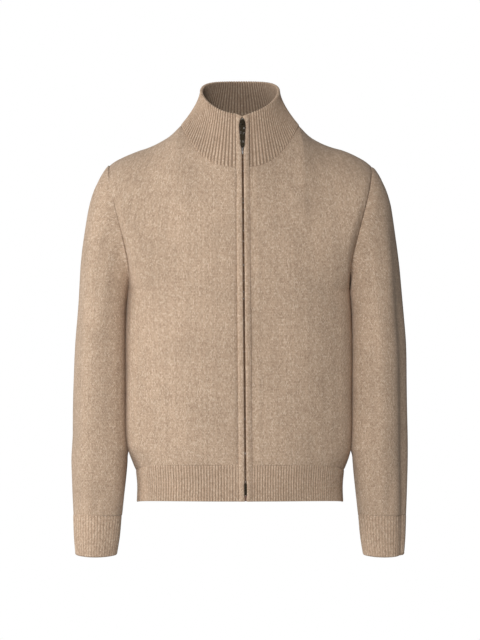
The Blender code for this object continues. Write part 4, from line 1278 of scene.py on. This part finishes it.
def dark_metal(name, tint, roughness, highlight_heights):
    """Gunmetal, paler and smoother in random rubbed patches that are partly wear and partly painted
    highlight, and most of all in a painted highlight between the two heights given.
    """
    made, tree, shader = new_material(name, roughness, 1.0)
    place = linked(tree, "ShaderNodeTexCoord").outputs["Object"]
    wear_and_highlight = linked(
        tree, "ShaderNodeTexNoise", {"Vector": place, "Scale": 260.0, "Detail": 3.0, "Roughness": 0.6}
    ).outputs[0]
    height = linked(tree, "ShaderNodeSeparateXYZ", {0: place}).outputs[2]
    middle, half = sum(highlight_heights) / 2, (highlight_heights[1] - highlight_heights[0]) / 2
    # painted highlight: between these heights the metal is made paler and smoother, as where it catches the
    # light
    near = maths(tree, "ABSOLUTE", maths(tree, "SUBTRACT", height, middle))
    near = eased(tree, near, half * 1.3, half * 0.6)
    wear_and_highlight = maths(tree, "ADD", wear_and_highlight, maths(tree, "MULTIPLY", near, 0.24))
    rubbed_and_highlight = eased(tree, wear_and_highlight, 0.56, 0.78)
    pale = tuple(min(0.6, 5.0 * c + 0.30) for c in tint)
    tree.links.new(mixed(tree, rubbed_and_highlight, tint, pale), shader.inputs["Base Color"])
    smooth = eased(tree, wear_and_highlight, 0.35, 0.70, roughness + 0.12, roughness - 0.1)
    tree.links.new(smooth, shader.inputs["Roughness"])
    raised = linked(tree, "ShaderNodeBump", {"Strength": 0.25, "Distance": 0.0002, "Height": wear_and_highlight})
    tree.links.new(raised.outputs[0], shader.inputs["Normal"])
    return made


def twill(name, tint):
    """Woven zip tape, with fine slanting ridges."""
    made, tree, shader = new_material(name, 0.9)
    place = linked(tree, "ShaderNodeTexCoord").outputs["Object"]
    split = linked(tree, "ShaderNodeSeparateXYZ", {0: place})
    slant = maths(tree, "ADD", split.outputs[0], split.outputs[2])
    ridge = maths(tree, "SINE", maths(tree, "MULTIPLY", slant, 2 * math.pi / 0.0008))
    ridge = maths(tree, "MULTIPLY_ADD", ridge, 0.5, 0.5)
    pale = tuple(1.5 * c for c in tint)
    tree.links.new(mixed(tree, ridge, tint, pale), shader.inputs["Base Color"])
    raised = linked(tree, "ShaderNodeBump", {"Strength": 0.5, "Distance": 0.0002, "Height": ridge})
    tree.links.new(raised.outputs[0], shader.inputs["Normal"])
    return made


def finish_node(name, material):
    """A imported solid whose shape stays, in its finish."""
    data = frame["nodes"][name].data
    data.materials.clear()
    data.materials.append(material)


def material_of(name, make):
    """A material by name, made the first time that it is asked for."""
    return bpy.data.materials.get(name) or make(name)


def jersey_material(cloth):
    return material_of("beige_wool_jersey", lambda name: wool(name, cloth, cloth.wale, cloth.course))


def rib_material(cloth):
    return material_of("beige_wool_rib", lambda name: wool(name, cloth, 0.5, cloth.course, 0.35))


# a rib whose grooves get a deeper painted shade, for the collar and cuffs
def rib_material_deeper_painted_shade(cloth):
    return material_of("beige_wool_deep_rib", lambda name: wool(name, cloth, 0.5, cloth.course, 0.85))


# Operators


class CARDIGAN_OT_body(bpy.types.Operator):
    """Lay the two fronts and the back in fine jersey"""

    bl_idname = "cardigan.body"
    bl_label = "Fronts and back"

    def execute(self, context):
        cloth = context.scene.cardigan_cloth
        for side in (1, -1):
            build_front(side, jersey_material(cloth), cloth)
        build_back(jersey_material(cloth), cloth)
        return {"FINISHED"}


class CARDIGAN_OT_sleeves(bpy.types.Operator):
    """Set in the two sleeves, with their soft upright folds"""

    bl_idname = "cardigan.sleeves"
    bl_label = "Sleeves"

    def execute(self, context):
        cloth = context.scene.cardigan_cloth
        build_sleeve(1, "sleeve_left", LEFT_SLEEVE_FOLDS, 2.3, SLEEVE_CREASE, jersey_material(cloth), cloth)
        build_sleeve(-1, "sleeve_right", RIGHT_SLEEVE_FOLDS, 0.3, 0.0, jersey_material(cloth), cloth)
        return {"FINISHED"}


class CARDIGAN_OT_ribs(bpy.types.Operator):
    """Knit the hem ribs and the cuffs"""

    bl_idname = "cardigan.ribs"
    bl_label = "Hem ribs and cuffs"

    def execute(self, context):
        cloth = context.scene.cardigan_cloth
        build_hem(rib_material(cloth), cloth)
        build_cuff(1, "cuff_left", LEFT_SLEEVE_FOLDS, rib_material_deeper_painted_shade(cloth), cloth)
        build_cuff(-1, "cuff_right", RIGHT_SLEEVE_FOLDS, rib_material_deeper_painted_shade(cloth), cloth)
        return {"FINISHED"}


class CARDIGAN_OT_collar(bpy.types.Operator):
    """Knit the ribbed funnel collar, folded double at its top"""

    bl_idname = "cardigan.collar"
    bl_label = "Collar"

    def execute(self, context):
        cloth = context.scene.cardigan_cloth
        build_collar(rib_material_deeper_painted_shade(cloth), cloth)
        return {"FINISHED"}


class CARDIGAN_OT_zip(bpy.types.Operator):
    """Roll the edge bands beside the zip, set its teeth and finish its metal and tapes"""

    bl_idname = "cardigan.zip"
    bl_label = "Zip"

    def execute(self, context):
        cloth, fastener = context.scene.cardigan_cloth, context.scene.cardigan_zip
        finishes = (
            ("dark_gunmetal", fastener.metal, 0.38, SLIDER_PAINTED_HIGHLIGHT),
            ("brown_zip_teeth", fastener.teeth, 0.45, TEETH_PAINTED_HIGHLIGHT),
        )
        metal, teeth = (material_of(name, lambda name: dark_metal(name, *rest)) for name, *rest in finishes)
        tape = material_of("zip_tape_twill", lambda name: twill(name, fastener.tape))
        build_bands(jersey_material(cloth))
        build_teeth(teeth, fastener.pitch)
        build_stop(tape)
        for node in ("zip_box", "zip_slider", "pull_tab"):
            finish_node(node, metal)
        for node in ("zip_tape_left", "zip_tape_right"):
            finish_node(node, tape)
        return {"FINISHED"}


def aimed(name, data, place, target):
    made = bpy.data.objects.new(name, data)
    bpy.context.scene.collection.objects.link(made)
    made.location = place
    made.rotation_euler = (Vector(target) - Vector(place)).to_track_quat("-Z", "Y").to_euler()
    return made


def soft_light(name, power, place, width):
    lamp = bpy.data.lights.new(name, "AREA")
    lamp.energy = power
    lamp.shape = "DISK"
    lamp.size = width
    aimed(name, lamp, place, LIT_POINT)


class CARDIGAN_OT_stage(bpy.types.Operator):
    """Set the pale floor, the soft light and the camera at the photo's angle"""

    bl_idname = "cardigan.stage"
    bl_label = "Floor, light and camera"

    def execute(self, context):
        stage = context.scene.cardigan_stage
        shape = bmesh.new()
        bmesh.ops.create_circle(shape, cap_ends=True, radius=FLOOR_RADIUS, segments=96)
        bmesh.ops.translate(shape, verts=shape.verts, vec=(0, 0, FLOOR_HEIGHT))
        mesh = bpy.data.meshes.new("floor")
        shape.to_mesh(mesh)
        shape.free()
        floor = bpy.data.objects.new("floor", mesh)
        context.scene.collection.objects.link(floor)
        made, _tree, shader = new_material("pale_floor", 0.9)
        shader.inputs["Base Color"].default_value = (0.88, 0.88, 0.88, 1)
        mesh.materials.append(made)

        world = bpy.data.worlds.new("Studio")
        context.scene.world = world
        world.use_nodes = True
        tree = world.node_tree
        tree.nodes.clear()
        seen = tree.nodes.new("ShaderNodeLightPath").outputs["Is Camera Ray"]
        around = linked(tree, "ShaderNodeBackground", {"Color": (1, 1, 1, 1), "Strength": stage.ambient})
        behind = linked(tree, "ShaderNodeBackground", {"Color": (1, 1, 1, 1), "Strength": 1.0})
        both = linked(tree, "ShaderNodeMixShader", {0: seen, 1: around.outputs[0], 2: behind.outputs[0]})
        linked(tree, "ShaderNodeOutputWorld", {0: both.outputs[0]})

        soft_light("key", stage.key, *KEY_LAMP)
        soft_light("side", stage.side, *SIDE_LAMP)

        camera = bpy.data.cameras.new("photo_view")
        camera.sensor_width = 36
        camera.lens = camera.sensor_width * stage.distance / stage.frame_height
        camera.clip_end = 200
        place = (0, -stage.distance, stage.eye_height)
        context.scene.camera = aimed("photo_view", camera, place, (0, 0, stage.eye_height))
        context.scene.view_settings.view_transform = "Standard"
        return {"FINISHED"}


class CARDIGAN_PT_steps(bpy.types.Panel):
    """Steps that make the cardigan, in their order."""

    bl_label = "Cardigan"
    bl_idname = "CARDIGAN_PT_steps"
    bl_space_type = "VIEW_3D"
    bl_region_type = "UI"
    bl_category = "Cardigan"

    def draw(self, context):
        for group in (context.scene.cardigan_cloth, context.scene.cardigan_zip, context.scene.cardigan_stage):
            box = self.layout.box()
            for name in group.bl_rna.properties.keys():
                if name not in ("rna_type", "name"):
                    box.prop(group, name)
        for step in STEPS:
            self.layout.operator(step.bl_idname)


STEPS = (
    CARDIGAN_OT_body,
    CARDIGAN_OT_sleeves,
    CARDIGAN_OT_ribs,
    CARDIGAN_OT_collar,
    CARDIGAN_OT_zip,
    CARDIGAN_OT_stage,
)
GROUPS = (CardiganCloth, CardiganZip, CardiganStage)


def register():
    for made in GROUPS + STEPS + (CARDIGAN_PT_steps,):
        bpy.utils.register_class(made)
    bpy.types.Scene.cardigan_cloth = PointerProperty(type=CardiganCloth)
    bpy.types.Scene.cardigan_zip = PointerProperty(type=CardiganZip)
    bpy.types.Scene.cardigan_stage = PointerProperty(type=CardiganStage)


def unregister():
    del bpy.types.Scene.cardigan_cloth
    del bpy.types.Scene.cardigan_zip
    del bpy.types.Scene.cardigan_stage
    for made in reversed(GROUPS + STEPS + (CARDIGAN_PT_steps,)):
        bpy.utils.unregister_class(made)


def main():
    register()
    bpy.ops.cardigan.body()
    bpy.ops.cardigan.sleeves()
    bpy.ops.cardigan.ribs()
    bpy.ops.cardigan.collar()
    bpy.ops.cardigan.zip()
    bpy.ops.cardigan.stage()


if __name__ == "__main__":
    main()
